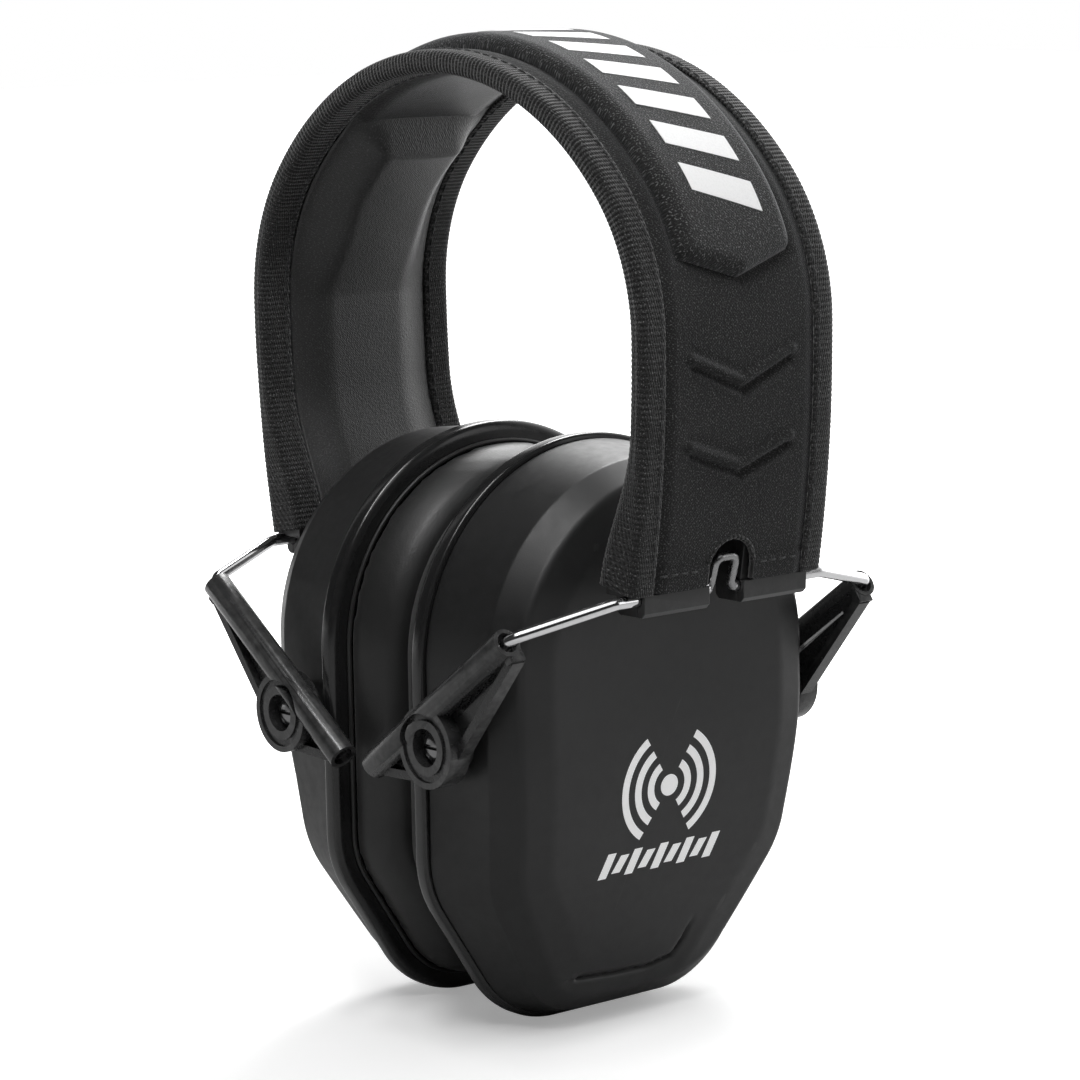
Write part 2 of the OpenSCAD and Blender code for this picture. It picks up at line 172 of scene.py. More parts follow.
def fillet_path(pts, rad, step=0.35):
    """polyline with rounded corners, sampled finely"""
    pts = [np.array(p, float) for p in pts]
    out = [pts[0]]
    for i in range(1, len(pts) - 1):
        a, b, c = pts[i - 1], pts[i], pts[i + 1]
        u = (a - b) / np.linalg.norm(a - b); v = (c - b) / np.linalg.norm(c - b)
        ang = math.acos(np.clip(u @ v, -1, 1))
        r = rad[i - 1] if hasattr(rad, "__len__") else rad
        d = min(r / math.tan(ang / 2), 0.48 * np.linalg.norm(a - b), 0.48 * np.linalg.norm(c - b))
        r = d * math.tan(ang / 2)
        w = (u + v) / np.linalg.norm(u + v)
        cen = b + w * (r / math.sin(ang / 2))
        p0, p1 = b + u * d, b + v * d
        e0, e1 = (p0 - cen) / r, (p1 - cen) / r
        tot = math.acos(np.clip(e0 @ e1, -1, 1))
        n = max(6, int(r * tot / step))
        for k in range(n + 1):
            t = k / n
            s0, s1 = math.sin((1 - t) * tot) / math.sin(tot), math.sin(t * tot) / math.sin(tot)
            out.append(cen + r * (s0 * e0 + s1 * e1))
    out.append(pts[-1])
    return np.array(out)


def tube(path, r, n=24, dome=True):
    path = np.asarray(path, float)
    d = np.gradient(path, axis=0)
    d /= np.linalg.norm(d, axis=1, keepdims=True)
    up = np.array([0.0, 0.0, 1.0]) if abs(d[0][2]) < 0.9 else np.array([1.0, 0, 0])
    nrm = np.cross(d[0], up); nrm /= np.linalg.norm(nrm)
    rings = []
    rr = np.full(len(path), r) if np.isscalar(r) else r
    for i in range(len(path)):
        nrm = nrm - d[i] * (nrm @ d[i]); nrm /= np.linalg.norm(nrm)
        b = np.cross(d[i], nrm)
        t = np.linspace(0, 2 * np.pi, n, endpoint=False)
        rings.append(path[i] + rr[i] * (np.cos(t)[:, None] * nrm + np.sin(t)[:, None] * b))
    if dome:
        a, c = [], []
        for k in (0.97, 0.8, 0.5):
            s = math.sqrt(1 - k * k)
            a.append(path[0] - d[0] * rr[0] * 0.35 * k + (rings[0] - path[0]) * s)
            c.append(path[-1] + d[-1] * rr[-1] * 0.35 * k + (rings[-1] - path[-1]) * s)
        rings = a + rings + c[::-1]
    V, F = sweep(np.array(rings))
    return V, F


# ------------------------------------------------------------------ materials
def new_mat(name):
    m = bpy.data.materials.new(name)
    m.use_nodes = True
    nt = m.node_tree
    return m, nt, nt.nodes["Principled BSDF"]


class N:
    """tiny node builder"""
    def __init__(s, nt):
        s.nt = nt

    def node(s, kind, **kw):
        n = s.nt.nodes.new(kind)
        for k, v in kw.items():
            setattr(n, k, v)
        return n

    def link(s, a, b):
        s.nt.links.new(a, b)

    def put(s, sock, v):
        if hasattr(v, "links") or hasattr(v, "is_linked"):
            s.link(v, sock)
        else:
            sock.default_value = v

    def math(s, op, a, b=None, clamp=False):
        n = s.node("ShaderNodeMath", operation=op, use_clamp=clamp)
        s.put(n.inputs[0], a)
        if b is not None:
            s.put(n.inputs[1], b)
        return n.outputs[0]

    def coord(s, kind="Object", scale=1000.0):
        if kind == "UV":
            t = s.node("ShaderNodeUVMap", uv_map="mm").outputs[0]
            return t
        t = s.node("ShaderNodeTexCoord").outputs["Object"]
        m = s.node("ShaderNodeVectorMath", operation="SCALE")
        s.link(t, m.inputs[0]); m.inputs["Scale"].default_value = scale
        return m.outputs[0]

    def noise(s, vec, scale, detail=3.0, rough=0.5):
        n = s.node("ShaderNodeTexNoise")
        s.link(vec, n.inputs["Vector"])
        n.inputs["Scale"].default_value = scale
        n.inputs["Detail"].default_value = detail
        n.inputs["Roughness"].default_value = rough
        return n.outputs["Fac"]

    def vor(s, vec, scale, feature="F1"):
        n = s.node("ShaderNodeTexVoronoi", feature=feature)
        s.link(vec, n.inputs["Vector"])
        n.inputs["Scale"].default_value = scale
        return n.outputs["Distance"]

    def maprange(s, v, a, b, c, d):
        n = s.node("ShaderNodeMapRange")
        s.link(v, n.inputs[0])
        for i, x in enumerate((a, b, c, d)):
            s.put(n.inputs[i + 1], x)
        return n.outputs[0]

    def mix(s, f, a, b):
        n = s.node("ShaderNodeMix", data_type="RGBA")
        s.put(n.inputs[0], f)
        s.put(n.inputs[6], a); s.put(n.inputs[7], b)
        return n.outputs[2]

    def bump(s, h, strength, dist, normal=None):
        n = s.node("ShaderNodeBump")
        n.inputs["Strength"].default_value = strength
        n.inputs["Distance"].default_value = dist
        s.link(h, n.inputs["Height"])
        if normal is not None:
            s.link(normal, n.inputs["Normal"])
        return n.outputs[0]


def rgb(v, t=(1.0, 1.0, 1.0)):
    return (v * t[0], v * t[1], v * t[2], 1.0)


def setp(b, **kw):
    names = {"rough": "Roughness", "metal": "Metallic", "spec": "Specular IOR Level", "sheen": "Sheen Weight",
             "sheen_rough": "Sheen Roughness", "coat": "Coat Weight", "coat_rough": "Coat Roughness"}
    for k, v in kw.items():
        b.inputs[names[k]].default_value = v


def plastic(name, base, rough, grain=0.12, edge_wear_and_highlight=0.35, spec=0.5, edge_wear_and_highlight_gain=2.2, sheen=0.0):
    """moulded plastic: spark-eroded grain, uneven sheen, rubbed corners lightened in colour, which also serve as
    painted edge highlights
    """
    m, nt, b = new_mat(name); n = N(nt)
    co = n.coord()
    fine = n.noise(co, 5.0, 4.0, 0.6)
    vf = n.vor(co, 3.2)
    big = n.noise(co, 0.05, 3.0)
    mid = n.noise(co, 0.45, 3.0, 0.6)
    geo = n.node("ShaderNodeNewGeometry")
    # sharp convex edges get a lighter colour: rubbed wear, and also painted edge highlights
    edge = n.maprange(geo.outputs["Pointiness"], 0.505, 0.56, 0.0, 1.0)
    edge = n.math("MULTIPLY", edge, n.maprange(mid, 0.35, 0.7, 0.3, 1.0), True)
    var = n.maprange(big, 0.3, 0.7, 0.85, 1.15)
    spk = n.maprange(fine, 0.3, 0.7, 0.9, 1.1)
    k = n.math("MULTIPLY", var, spk)
    base_c = n.node("ShaderNodeMix", data_type="RGBA", blend_type="MULTIPLY")
    base_c.inputs[0].default_value = 1.0
    base_c.inputs[6].default_value = rgb(base, (1.0, 1.0, 1.02))
    comb = n.node("ShaderNodeCombineColor")
    for i in range(3):
        n.link(k, comb.inputs[i])
    n.link(comb.outputs[0], base_c.inputs[7])
    col = n.mix(n.math("MULTIPLY", edge, edge_wear_and_highlight), base_c.outputs[2], rgb(base * edge_wear_and_highlight_gain + 0.01))
    n.link(col, b.inputs["Base Color"])
    r = n.math("ADD", n.maprange(mid, 0.3, 0.7, rough - 0.04, rough + 0.05), n.math("MULTIPLY", edge, -0.10))
    n.link(r, b.inputs["Roughness"])
    h = n.math("ADD", n.math("MULTIPLY", fine, 0.6), n.math("MULTIPLY", vf, 0.4))
    n.link(n.bump(h, grain, 0.00012), b.inputs["Normal"])
    setp(b, spec=spec, sheen=sheen)
    return m


def fabric(name, dark, light, pitch=0.62, sheen=0.35, rough=0.8, weave=0.5, kind="UV", grain=1.0, spec=0.25, sheen_rough=0.45, glint_fleck=0.25):
    """woven or knitted cloth: interlaced yarns, fuzzy colour speckle, pale flecks that are painted glints off the
    fibres, soft sheen
    """
    m, nt, b = new_mat(name); n = N(nt)
    co = n.coord(kind)
    sep = n.node("ShaderNodeSeparateXYZ"); n.link(co, sep.inputs[0])
    w = 2 * math.pi / pitch
    jit = n.math("MULTIPLY", n.math("SUBTRACT", n.noise(co, 0.9, 3.0), 0.5), 1.6)
    u = n.math("ADD", n.math("MULTIPLY", sep.outputs[0], w), jit)
    v = n.math("ADD", n.math("MULTIPLY", sep.outputs[1], w), jit)
    su, sv = n.math("SINE", u), n.math("SINE", v)
    over = n.math("MULTIPLY", su, sv)                       # checker of crossings
    yarn = n.math("MAXIMUM", n.math("MULTIPLY", over, n.math("COSINE", n.math("MULTIPLY", u, 2.0))), n.math("MULTIPLY", over, -0.8))
    fuzz = n.noise(co, 4.2, 4.0, 0.65)
    grains = n.vor(co, 2.4)
    h = n.math("ADD", n.math("MULTIPLY", yarn, weave), n.math("MULTIPLY", fuzz, 0.9 * grain))
    h = n.math("ADD", h, n.math("MULTIPLY", grains, 0.7 * grain))
    n.link(n.bump(h, 0.55, 0.00018), b.inputs["Normal"])
    big = n.noise(co, 0.06, 3.0)
    f = n.math("ADD", n.maprange(fuzz, 0.32, 0.68, 0.0, 0.75), n.math("MULTIPLY", yarn, 0.25))
    f = n.math("ADD", f, n.maprange(big, 0.3, 0.7, -0.12, 0.12), True)
    # pale flecks mixed into the colour: painted glints off the fibres
    fl = n.maprange(n.noise(co, 3.3, 2.0, 0.6), 0.56, 0.68, 0.0, glint_fleck)
    col = n.mix(f, rgb(dark), rgb(light))
    col = n.mix(fl, col, rgb(light * 6.0))
    n.link(col, b.inputs["Base Color"])
    n.link(n.maprange(fuzz, 0.3, 0.7, rough - 0.08, rough + 0.08), b.inputs["Roughness"])
    setp(b, spec=spec, sheen=sheen, sheen_rough=sheen_rough)
    b.inputs["Sheen Tint"].default_value = (0.9, 0.92, 0.95, 1)
    return m


def tape(name):
    """ribbed edge tape: cross ribs in geometry, twisted yarn in bump and colour, pale specks painted in as glints off
    the yarn
    """
    m, nt, b = new_mat(name); n = N(nt)
    co = n.coord("UV")
    sep = n.node("ShaderNodeSeparateXYZ"); n.link(co, sep.inputs[0])
    rib = n.math("SINE", n.math("MULTIPLY", sep.outputs[0], 2 * math.pi / 0.95))
    yarn = n.math("SINE", n.math("ADD", n.math("MULTIPLY", sep.outputs[1], 2 * math.pi / 0.5), n.math("MULTIPLY", sep.outputs[0], 3.0)))
    fuzz = n.noise(co, 3.6, 4.0, 0.65)
    h = n.math("ADD", n.math("MULTIPLY", rib, 0.6), n.math("ADD", n.math("MULTIPLY", yarn, 0.3), n.math("MULTIPLY", fuzz, 0.9)))
    n.link(n.bump(h, 0.6, 0.00016), b.inputs["Normal"])
    patch = n.maprange(n.noise(co, 0.22, 2.0), 0.4, 0.62, 0.25, 1.0)
    f = n.math("ADD", n.math("MULTIPLY", n.maprange(rib, -0.2, 1.0, 0.0, 0.8), patch), n.maprange(fuzz, 0.35, 0.7, -0.1, 0.35), True)
    col = n.mix(f, rgb(0.004), rgb(0.034))
    # pale specks mixed into the colour: painted glints off the yarn
    col = n.mix(n.maprange(n.noise(co, 3.1, 2.0, 0.6), 0.57, 0.72, 0.0, 0.8), col, rgb(0.25))
    n.link(col, b.inputs["Base Color"])
    setp(b, rough=0.72, spec=0.3, sheen=0.3, sheen_rough=0.4)
    return m


def skin(name):
    """smooth foam-backed cushion skin with a fine leather grain"""
    m, nt, b = new_mat(name); n = N(nt)
    co = n.coord()
    cells = n.vor(co, 1.5, "DISTANCE_TO_EDGE")
    crease = n.maprange(cells, 0.0, 0.12, 0.0, 1.0)
    fine = n.noise(co, 2.4, 4.0, 0.6)
    big = n.noise(co, 0.07, 3.0)
    h = n.math("ADD", n.math("MULTIPLY", crease, 0.5), n.math("MULTIPLY", fine, 0.5))
    n.link(n.bump(h, 0.16, 0.0001), b.inputs["Normal"])
    col = n.mix(n.maprange(big, 0.3, 0.7, 0.0, 1.0), rgb(0.011), rgb(0.018))
    n.link(col, b.inputs["Base Color"])
    n.link(n.maprange(fine, 0.3, 0.7, 0.40, 0.50), b.inputs["Roughness"])
    setp(b, spec=0.5, sheen=0.08)
    return m


def metal(name, base, rough, brushed=0.0, dark_wear=0.0):
    m, nt, b = new_mat(name); n = N(nt)
    co = n.coord()
    fine = n.noise(co, 1.2, 4.0, 0.6)
    scr = n.noise(co, 9.0, 2.0, 0.5)
    n.link(n.maprange(fine, 0.3, 0.7, rough - 0.03, rough + 0.08), b.inputs["Roughness"])
    col = n.mix(n.maprange(fine, 0.55, 0.75, 0.0, 0.5), rgb(base, (1, 1, 1.01)), rgb(base * 0.72))
    n.link(col, b.inputs["Base Color"])
    n.link(n.bump(scr, 0.05 + brushed, 0.00005), b.inputs["Normal"])
    setp(b, metal=1.0)
    return m


def glowing_print_mat(name, glow):
    """pale screen print over cloth or plastic, with a painted glow (emission) that keeps it brighter than its lighting
    """
    m, nt, b = new_mat(name); n = N(nt)
    co = n.coord()
    sp = n.noise(co, 3.0, 4.0, 0.7)
    col = n.mix(n.maprange(sp, 0.45, 0.75, 0.0, 0.6), rgb(0.86), rgb(0.72))
    n.link(col, b.inputs["Base Color"])
    n.link(n.bump(sp, 0.25, 0.00008), b.inputs["Normal"])
    # emission here is a painted glow; the print is no lamp
    b.inputs["Emission Color"].default_value = (1, 1, 1, 1)
    b.inputs["Emission Strength"].default_value = glow
    setp(b, rough=0.62, spec=0.3)
    return m


M_COVER = fabric("band_fabric", 0.004, 0.021, pitch=0.62, sheen=0.16, weave=0.35, glint_fleck=0.85)
M_CROWN = fabric("crown_fabric", 0.005, 0.032, pitch=0.62, sheen=0.24, weave=0.35, glint_fleck=1.0)
M_LINER = fabric("liner_fabric", 0.003, 0.012, pitch=0.5, sheen=0.38, rough=0.42, weave=0.25, spec=0.75, sheen_rough=0.18, grain=0.9, glint_fleck=0.9)
M_TAPE = tape("binding_tape")
M_THREAD = fabric("stitch_thread", 0.015, 0.06, pitch=0.3, sheen=0.2, weave=0.8, kind="Object")
M_SHELL = plastic("shell_plastic", 0.0140, 0.46, grain=0.10, edge_wear_and_highlight=0.5)
M_RIM = plastic("rim_plastic", 0.014, 0.21, grain=0.06, edge_wear_and_highlight=0.55)
# the arms' strong edge lightening is mostly painted edge highlight
M_ARM = plastic("arm_plastic", 0.020, 0.27, grain=0.14, edge_wear_and_highlight=0.9, edge_wear_and_highlight_gain=4.0)
M_YOKE = plastic("yoke_plastic", 0.022, 0.40, grain=0.2, edge_wear_and_highlight=0.6)
M_SKIN = skin("cushion_skin")
M_CHROME = metal("chrome_wire", 0.82, 0.10)
# darker, rougher copy of the chrome for the crank in the window: painted shade
M_CRANK_SHADE = metal("crank_wire_painted_shade", 0.30, 0.24)
M_STEEL = metal("spring_steel", 0.5, 0.32, 0.1)
M_RIVET = metal("rivet_steel", 0.6, 0.28, 0.05)
M_SCREW = metal("black_screw", 0.22, 0.16, 0.02)
M_WASHER = plastic("washer_nylon", 0.016, 0.4, grain=0.1, edge_wear_and_highlight=0.3)
# both prints get a painted glow, stronger on the cup emblem
M_PRINT_GLOW = glowing_print_mat("pale_print_painted_glow", 0.05)
M_EMBLEM_GLOW = glowing_print_mat("pale_pad_print_painted_glow", 0.24)


def foam_mat(name, base):
    m, nt, b = new_mat(name); n = N(nt)
    co = n.coord()
    v = n.vor(co, 1.1)
    f = n.noise(co, 2.2, 4.0, 0.7)
    h = n.math("ADD", v, n.math("MULTIPLY", f, 0.5))
    n.link(n.bump(h, 0.9, 0.0005), b.inputs["Normal"])
    # pore centres darkened in the colour: painted shade in the open pores
    col = n.mix(n.maprange(v, 0.0, 0.6, 1.0, 0.0), rgb(base), rgb(base * 0.25))
    n.link(col, b.inputs["Base Color"])
    setp(b, rough=0.95, spec=0.1)
    return m


M_FOAM = foam_mat("open_foam", 0.12)

# ------------------------------------------------------------------ the band's geometry, mm
hw, cz1, CR, CA = 22.3, 113.8, 62.0, 50.0
BX, LR, END = 56.8, 240.0, 100.7
s50, c50 = math.sin(math.radians(CA)), math.cos(math.radians(CA))
p1x, p1z = CR * s50, cz1 + CR * c50
SR = (BX - p1x) / (1 - s50)
wz = p1z - SR * c50
ARC1 = CR * math.radians(CA)
ARC2 = ARC1 + SR * math.radians(90 - CA)
S_END = ARC2 + LR * math.radians(END - 90)


def P(a, t):
    a = np.asarray(a, float); t = np.asarray(t, float)
    s = np.where(a < 0, -1.0, 1.0); b = np.abs(a); r = np.radians(b)
    sn, cs = np.sin(r), np.cos(r)
    x = np.where(b <= CA, (CR - t) * sn, np.where(b <= 90, p1x - SR * s50 + (SR - t) * sn, BX - LR + (LR - t) * sn))
    z = np.where(b <= CA, cz1 + (CR - t) * cs, np.where(b <= 90, p1z - SR * c50 + (SR - t) * cs, wz + (LR - t) * cs))
    return s * x, z


def ang(s):
    """arc length from the crown (mm, signed) to angle (deg)"""
    s = np.asarray(s, float); q = np.abs(s)
    a = np.where(q <= ARC1, np.degrees(q / CR), np.where(q <= ARC2, CA + np.degrees((q - ARC1) / SR), 90 + np.degrees((q - ARC2) / LR)))
    return np.sign(s) * a


def arc(a):
    a = np.asarray(a, float); b = np.abs(a)
    q = np.where(b <= CA, CR * np.radians(b), np.where(b <= 90, ARC1 + SR * np.radians(b - CA), ARC2 + LR * np.radians(b - 90)))
    return np.sign(a) * q


def tin(a):
    return 4.15 + 5.2 * ramp((np.abs(a) - 94) / (END - 94))


def on_band(s, y, t):
    x, z = P(ang(s), t)
    return np.stack(np.broadcast_arrays(x, y, z), -1)


# --- outer cover with crown seat, chevrons and the window
NS, NY = 561, 97
s = np.linspace(-S_END, S_END, NS)[:, None]
y = (hw - 0.55) * np.sin(np.linspace(-1, 1, NY) * math.pi / 2 * 0.86) / math.sin(math.pi / 2 * 0.86)
y = y[None, :]
sb, yb = np.broadcast_arrays(s, y)
zz = P(ang(sb), 0.0)[1]
ay = np.abs(yb)
puff = 0.60 * ramp((17.35 - ay) / 2.6)
t = 0.62 - puff + 0.05 * wob(sb, yb, 0.6)
below = np.abs(ang(sb)) > 80


def seg_dist(py, pz, a, b):
    a, b = np.array(a), np.array(b)
    d = b - a
    u = np.clip(((py - a[0]) * d[0] + (pz - a[1]) * d[1]) / (d @ d), 0, 1)
    qy, qz = py - a[0] - u * d[0], pz - a[1] - u * d[1]
    return np.hypot(qy, qz), qz


emb = np.zeros_like(zz)
for zt, zv in ((123.9, 119.2), (108.7, 104.6)):
    d1, off = seg_dist(ay, zz, (0.0, zv), (11.6, zt))
    ridge = 0.75 * ramp((1.15 - d1) / 0.75)
    d2, _ = seg_dist(ay, zz + 1.55, (0.0, zv), (11.0, zt))
    groove = 0.72 * np.exp(-(d2 / 0.66) ** 2)
    d3, _ = seg_dist(ay, zz + 2.9, (0.0, zv), (10.6, zt))
    lip = 0.22 * np.exp(-(d3 / 0.6) ** 2)
    d4, _ = seg_dist(ay, zz - 1.7, (0.0, zv), (11.8, zt))
    moat = 0.16 * np.exp(-(d4 / 0.7) ** 2)
    emb += np.where(below, ridge - groove + lip - moat, 0)
t = t - emb
# crease round the crown pad
a_end = 77.0 - 6.0 * np.clip(ay / 12.6, 0, 1)
dout = np.maximum(ay - 12.6, (np.abs(sb) - np.abs(arc(a_end))))
t = t + 0.45 * np.exp(-((dout - 0.2) / 0.9) ** 2)
# the hem at the lower end is turned and stitched: a slight thickening and a stitch line
hem = S_END - np.abs(sb)
t = t - 0.22 * ramp((4.2 - hem) / 0.8) * ramp((18 - ay) / 2) + 0.22 * np.exp(-((hem - 4.6) / 0.5) ** 2) * (ay < 18)
top = on_band(sb, yb, t)
bot = on_band(sb, yb, np.full_like(t, 1.35))
V, F = sheet(top, bot)
uvt = np.stack([sb, yb], -1).reshape(-1, 2)
cover = make("band_cover_fabric", V, F, M_COVER, "headband", uv=np.concatenate([uvt, uvt]), reps=("band_outer_cover",))
fix_normals(cover)


def arch(r, z0, zc, n=40):
    """outline of the window: straight sides to zc, half circle above"""
    th = np.linspace(0, math.pi, n)
    pts = [(-r, z0)] + [(-r * math.cos(q), zc + r * math.sin(q)) for q in th] + [(r, z0)]
    return np.array(pts)


cut_parts = []
for sx in (-1, 1):
    o = arch(5.5, 70.0, 86.5)
    R = np.array([[(sx * xx, p[0], p[1]) for p in o] for xx in (44.0, 64.0)])
    cut_parts.append(sweep(R))
CV, CF, _ = join_data(cut_parts)
cme = bpy.data.meshes.new("cutter"); cme.from_pydata((CV * MM).tolist(), [], CF); cme.update()
cutter = bpy.data.objects.new("cutter", cme); scene.collection.objects.link(cutter)
fix_normals(cutter)
md = cover.modifiers.new("window", "BOOLEAN"); md.operation = "DIFFERENCE"; md.object = cutter; md.solver = "EXACT"
bpy.context.view_layer.update()
bake(cover)
cover.data.polygons.foreach_set("use_smooth", [True] * len(cover.data.polygons))
cover.data.set_sharp_from_angle(angle=math.radians(55))
bpy.data.objects.remove(cutter)

# turned edge round each window
for sx, side in ((-1, "left"), (1, "right")):
    o = arch(5.35, 83.9, 86.5, 48)
    a_of = lambda z: 90 + np.degrees(np.arcsin(np.clip((wz - z) / LR, -1, 1)))
    path = []
    for py, pz in o:
        X, Z = P(a_of(pz), 0.35)
        path.append((sx * float(X), py, float(Z)))
    tv, tf = tube(np.array(path), 0.55, 12)
    ob = make(f"window_edge_{side}", tv, tf, M_TAPE, "headband", uv=np.stack([np.repeat(np.arange(len(tv) // 12), 12)[: len(tv)] * 0.35, np.tile(np.arange(12), len(tv) // 12 + 1)[: len(tv)] * 0.25], -1))
    fix_normals(ob)

# --- crown pad: raised, padded, pointed ends
NU, NV = 361, 61
u = np.linspace(-1, 1, NU)[:, None]
v = np.sin(np.linspace(-1, 1, NV) * math.pi / 2 * 0.9) / math.sin(math.pi / 2 * 0.9)
v = v[None, :]
u = np.sign(u) * (1 - (1 - np.abs(u)) ** 1.0)
Yc = 12.7 * v + 0 * u
s_end = arc(77.0 - 6.0 * np.abs(v))
Sc = u * s_end
dy = 12.7 - np.abs(Yc)
ds = s_end - np.abs(Sc)
e = np.minimum(dy, ds * 0.93)
e = e - 0.35 * np.exp(-np.abs(dy - ds * 0.93) / 0.7)
e = np.clip(e, 0, None)
prof = np.sqrt(np.clip(1 - (1 - np.clip(e / 2.7, 0, 1)) ** 2, 0, 1))
hgt = -0.30 + 3.0 * prof + 0.12 * ramp(e / 10) + 0.05 * wob(Sc, Yc, 0.7, 1.0) * ramp(e / 3)
top = on_band(Sc, Yc, -hgt)
bot = on_band(Sc, Yc * 0.995, np.full_like(Sc, 0.50))
V, F = sheet(top, bot)
uvt = np.stack([Sc, Yc], -1).reshape(-1, 2)
pad = make("crown_pad_fabric", V, F, M_CROWN, "headband", uv=np.concatenate([uvt, uvt]), reps=("crown_panel", "crown_foam"))
fix_normals(pad)

# --- generic printed mark on the crown pad: a row of slanted bars
def quad_patch(cs, cy, ls, ly, slant, h0, h1, fn, n=10):
    uu, vv = np.meshgrid(np.linspace(-1, 1, n), np.linspace(-1, 1, n), indexing="ij")
    S_ = cs + uu * ls / 2 + vv * slant
    Y_ = cy + vv * ly / 2
    return sheet(fn(S_, Y_, h1), fn(S_, Y_, h0))


def crown_fn(S_, Y_, h):
    return on_band(S_, Y_, -(2.84 + h))


bars = []
for c in np.arange(-57.6, 58, 9.6):
    bars.append(quad_patch(c, 0.0, 5.4, 13.8, 2.4, -0.35, 0.06, crown_fn, 12))
V, F, _ = join_data(bars)
mark = make("crown_mark_bars", V, F, M_PRINT_GLOW, "headband", sharp=40)
fix_normals(mark)

# --- inner liner, gently padded
NS2, NY2 = 301, 47
s = np.linspace(-S_END + 0.05, S_END - 0.05, NS2)[:, None]
y = np.linspace(-(hw - 0.6), hw - 0.6, NY2)[None, :]
sb, yb = np.broadcast_arrays(s, y)
A = ang(sb); ay = np.abs(yb)
inner = tin(A) - 0.62 + 1.15 * ramp((16.3 - ay) / 4.5) * (1 - 0.5 * ramp((np.abs(A) - 90) / 8)) + 0.06 * wob(sb, yb, 0.5, 2.0)
top = on_band(sb, yb, inner)
bot = on_band(sb, yb, tin(A) - 1.2)
V, F = sheet(bot, top)
uvt = np.stack([sb, yb], -1).reshape(-1, 2)
liner = make("band_inner_liner", V, F, M_LINER, "headband", uv=np.concatenate([uvt, uvt]), reps=("band_liner",))
fix_normals(liner)

# --- comfort pads
for sx, side in ((-1, "left"), (1, "right")):
    s0, s1 = float(arc(31.5)), S_END - 0.3
    NU, NV = 150, 49
    q = np.linspace(0, 1, NU)[:, None]
    yy = 15.9 * np.linspace(-1, 1, NV)[None, :]
    Sp, Yp = np.broadcast_arrays(s0 + (s1 - s0) * q, yy)
    Ap = ang(Sp)
    H = (0.3 + 5.5 * ramp((Sp - s0) / 6.5)) * (1 - 0.72 * ramp((Ap - 66) / (END - 66)))
    ay = np.abs(Yp)
    side_f = ramp((15.9 - ay) / 8.5)
    low = ramp((s1 - Sp) / 1.6)
    H2 = H * (0.10 + 0.90 * side_f) * (0.6 + 0.4 * low) + (0.25 + 0.22 * H) * (1 - (ay / 15.9) ** 2) + 0.07 * wob(Sp, Yp, 0.5, 3.0) * side_f
    base = tin(Ap) - 0.45
    topg = on_band(sx * Sp, Yp, base + H2)
    botg = on_band(sx * Sp, Yp, base)
    V, F = sheet(botg, topg)
    uvt = np.stack([sx * Sp, Yp], -1).reshape(-1, 2)
    pd = make(f"comfort_pad_soft_{side}", V, F, M_LINER, "headband", uv=np.concatenate([uvt, uvt]), reps=(f"comfort_pad_{side}",))
    fix_normals(pd)

# --- bindings with real cross ribs, and their stitches
prof_pts = [(-5.0, 0.55, 0), (-5.05, 0.2, 0), (-4.85, 0.02, 0), (-4.2, 0.0, 0), (-3.2, 0.0, 0), (-2.2, 0.0, 0), (-1.4, 0.04, 0), (-0.75, 0.2, 0), (-0.3, 0.55, 0), (-0.05, 1.2, 0), (0, 1.9, 0),
            (0, 0, 0.5), (0, -1.9, 1), (-0.05, -1.2, 1), (-0.3, -0.5, 1), (-0.8, -0.12, 1), (-1.6, 0, 1), (-2.8, 0, 1), (-4.2, 0, 1), (-5.4, 0, 1), (-5.95, -0.06, 1), (-6.05, -0.3, 1), (-6.0, -0.55, 1),
            (-0.9, -0.55, 1), (-0.56, -0.9, 1), (-0.56, 0, 0.5), (-0.56, 0.9, 0), (-0.9, 0.55, 0)]
outer = [1] * 23 + [0] * 5
NB = 1500
s = np.linspace(-S_END, S_END, NB)
A = ang(s)
rib = 0.5 + 0.5 * np.sin(2 * np.pi * s / 0.95)
girth = np.cumsum([0] + [math.hypot(prof_pts[i + 1][0] - prof_pts[i][0], 1.0 if prof_pts[i + 1][2] != prof_pts[i][2] else prof_pts[i + 1][1] - prof_pts[i][1]) for i in range(len(prof_pts) - 1)])
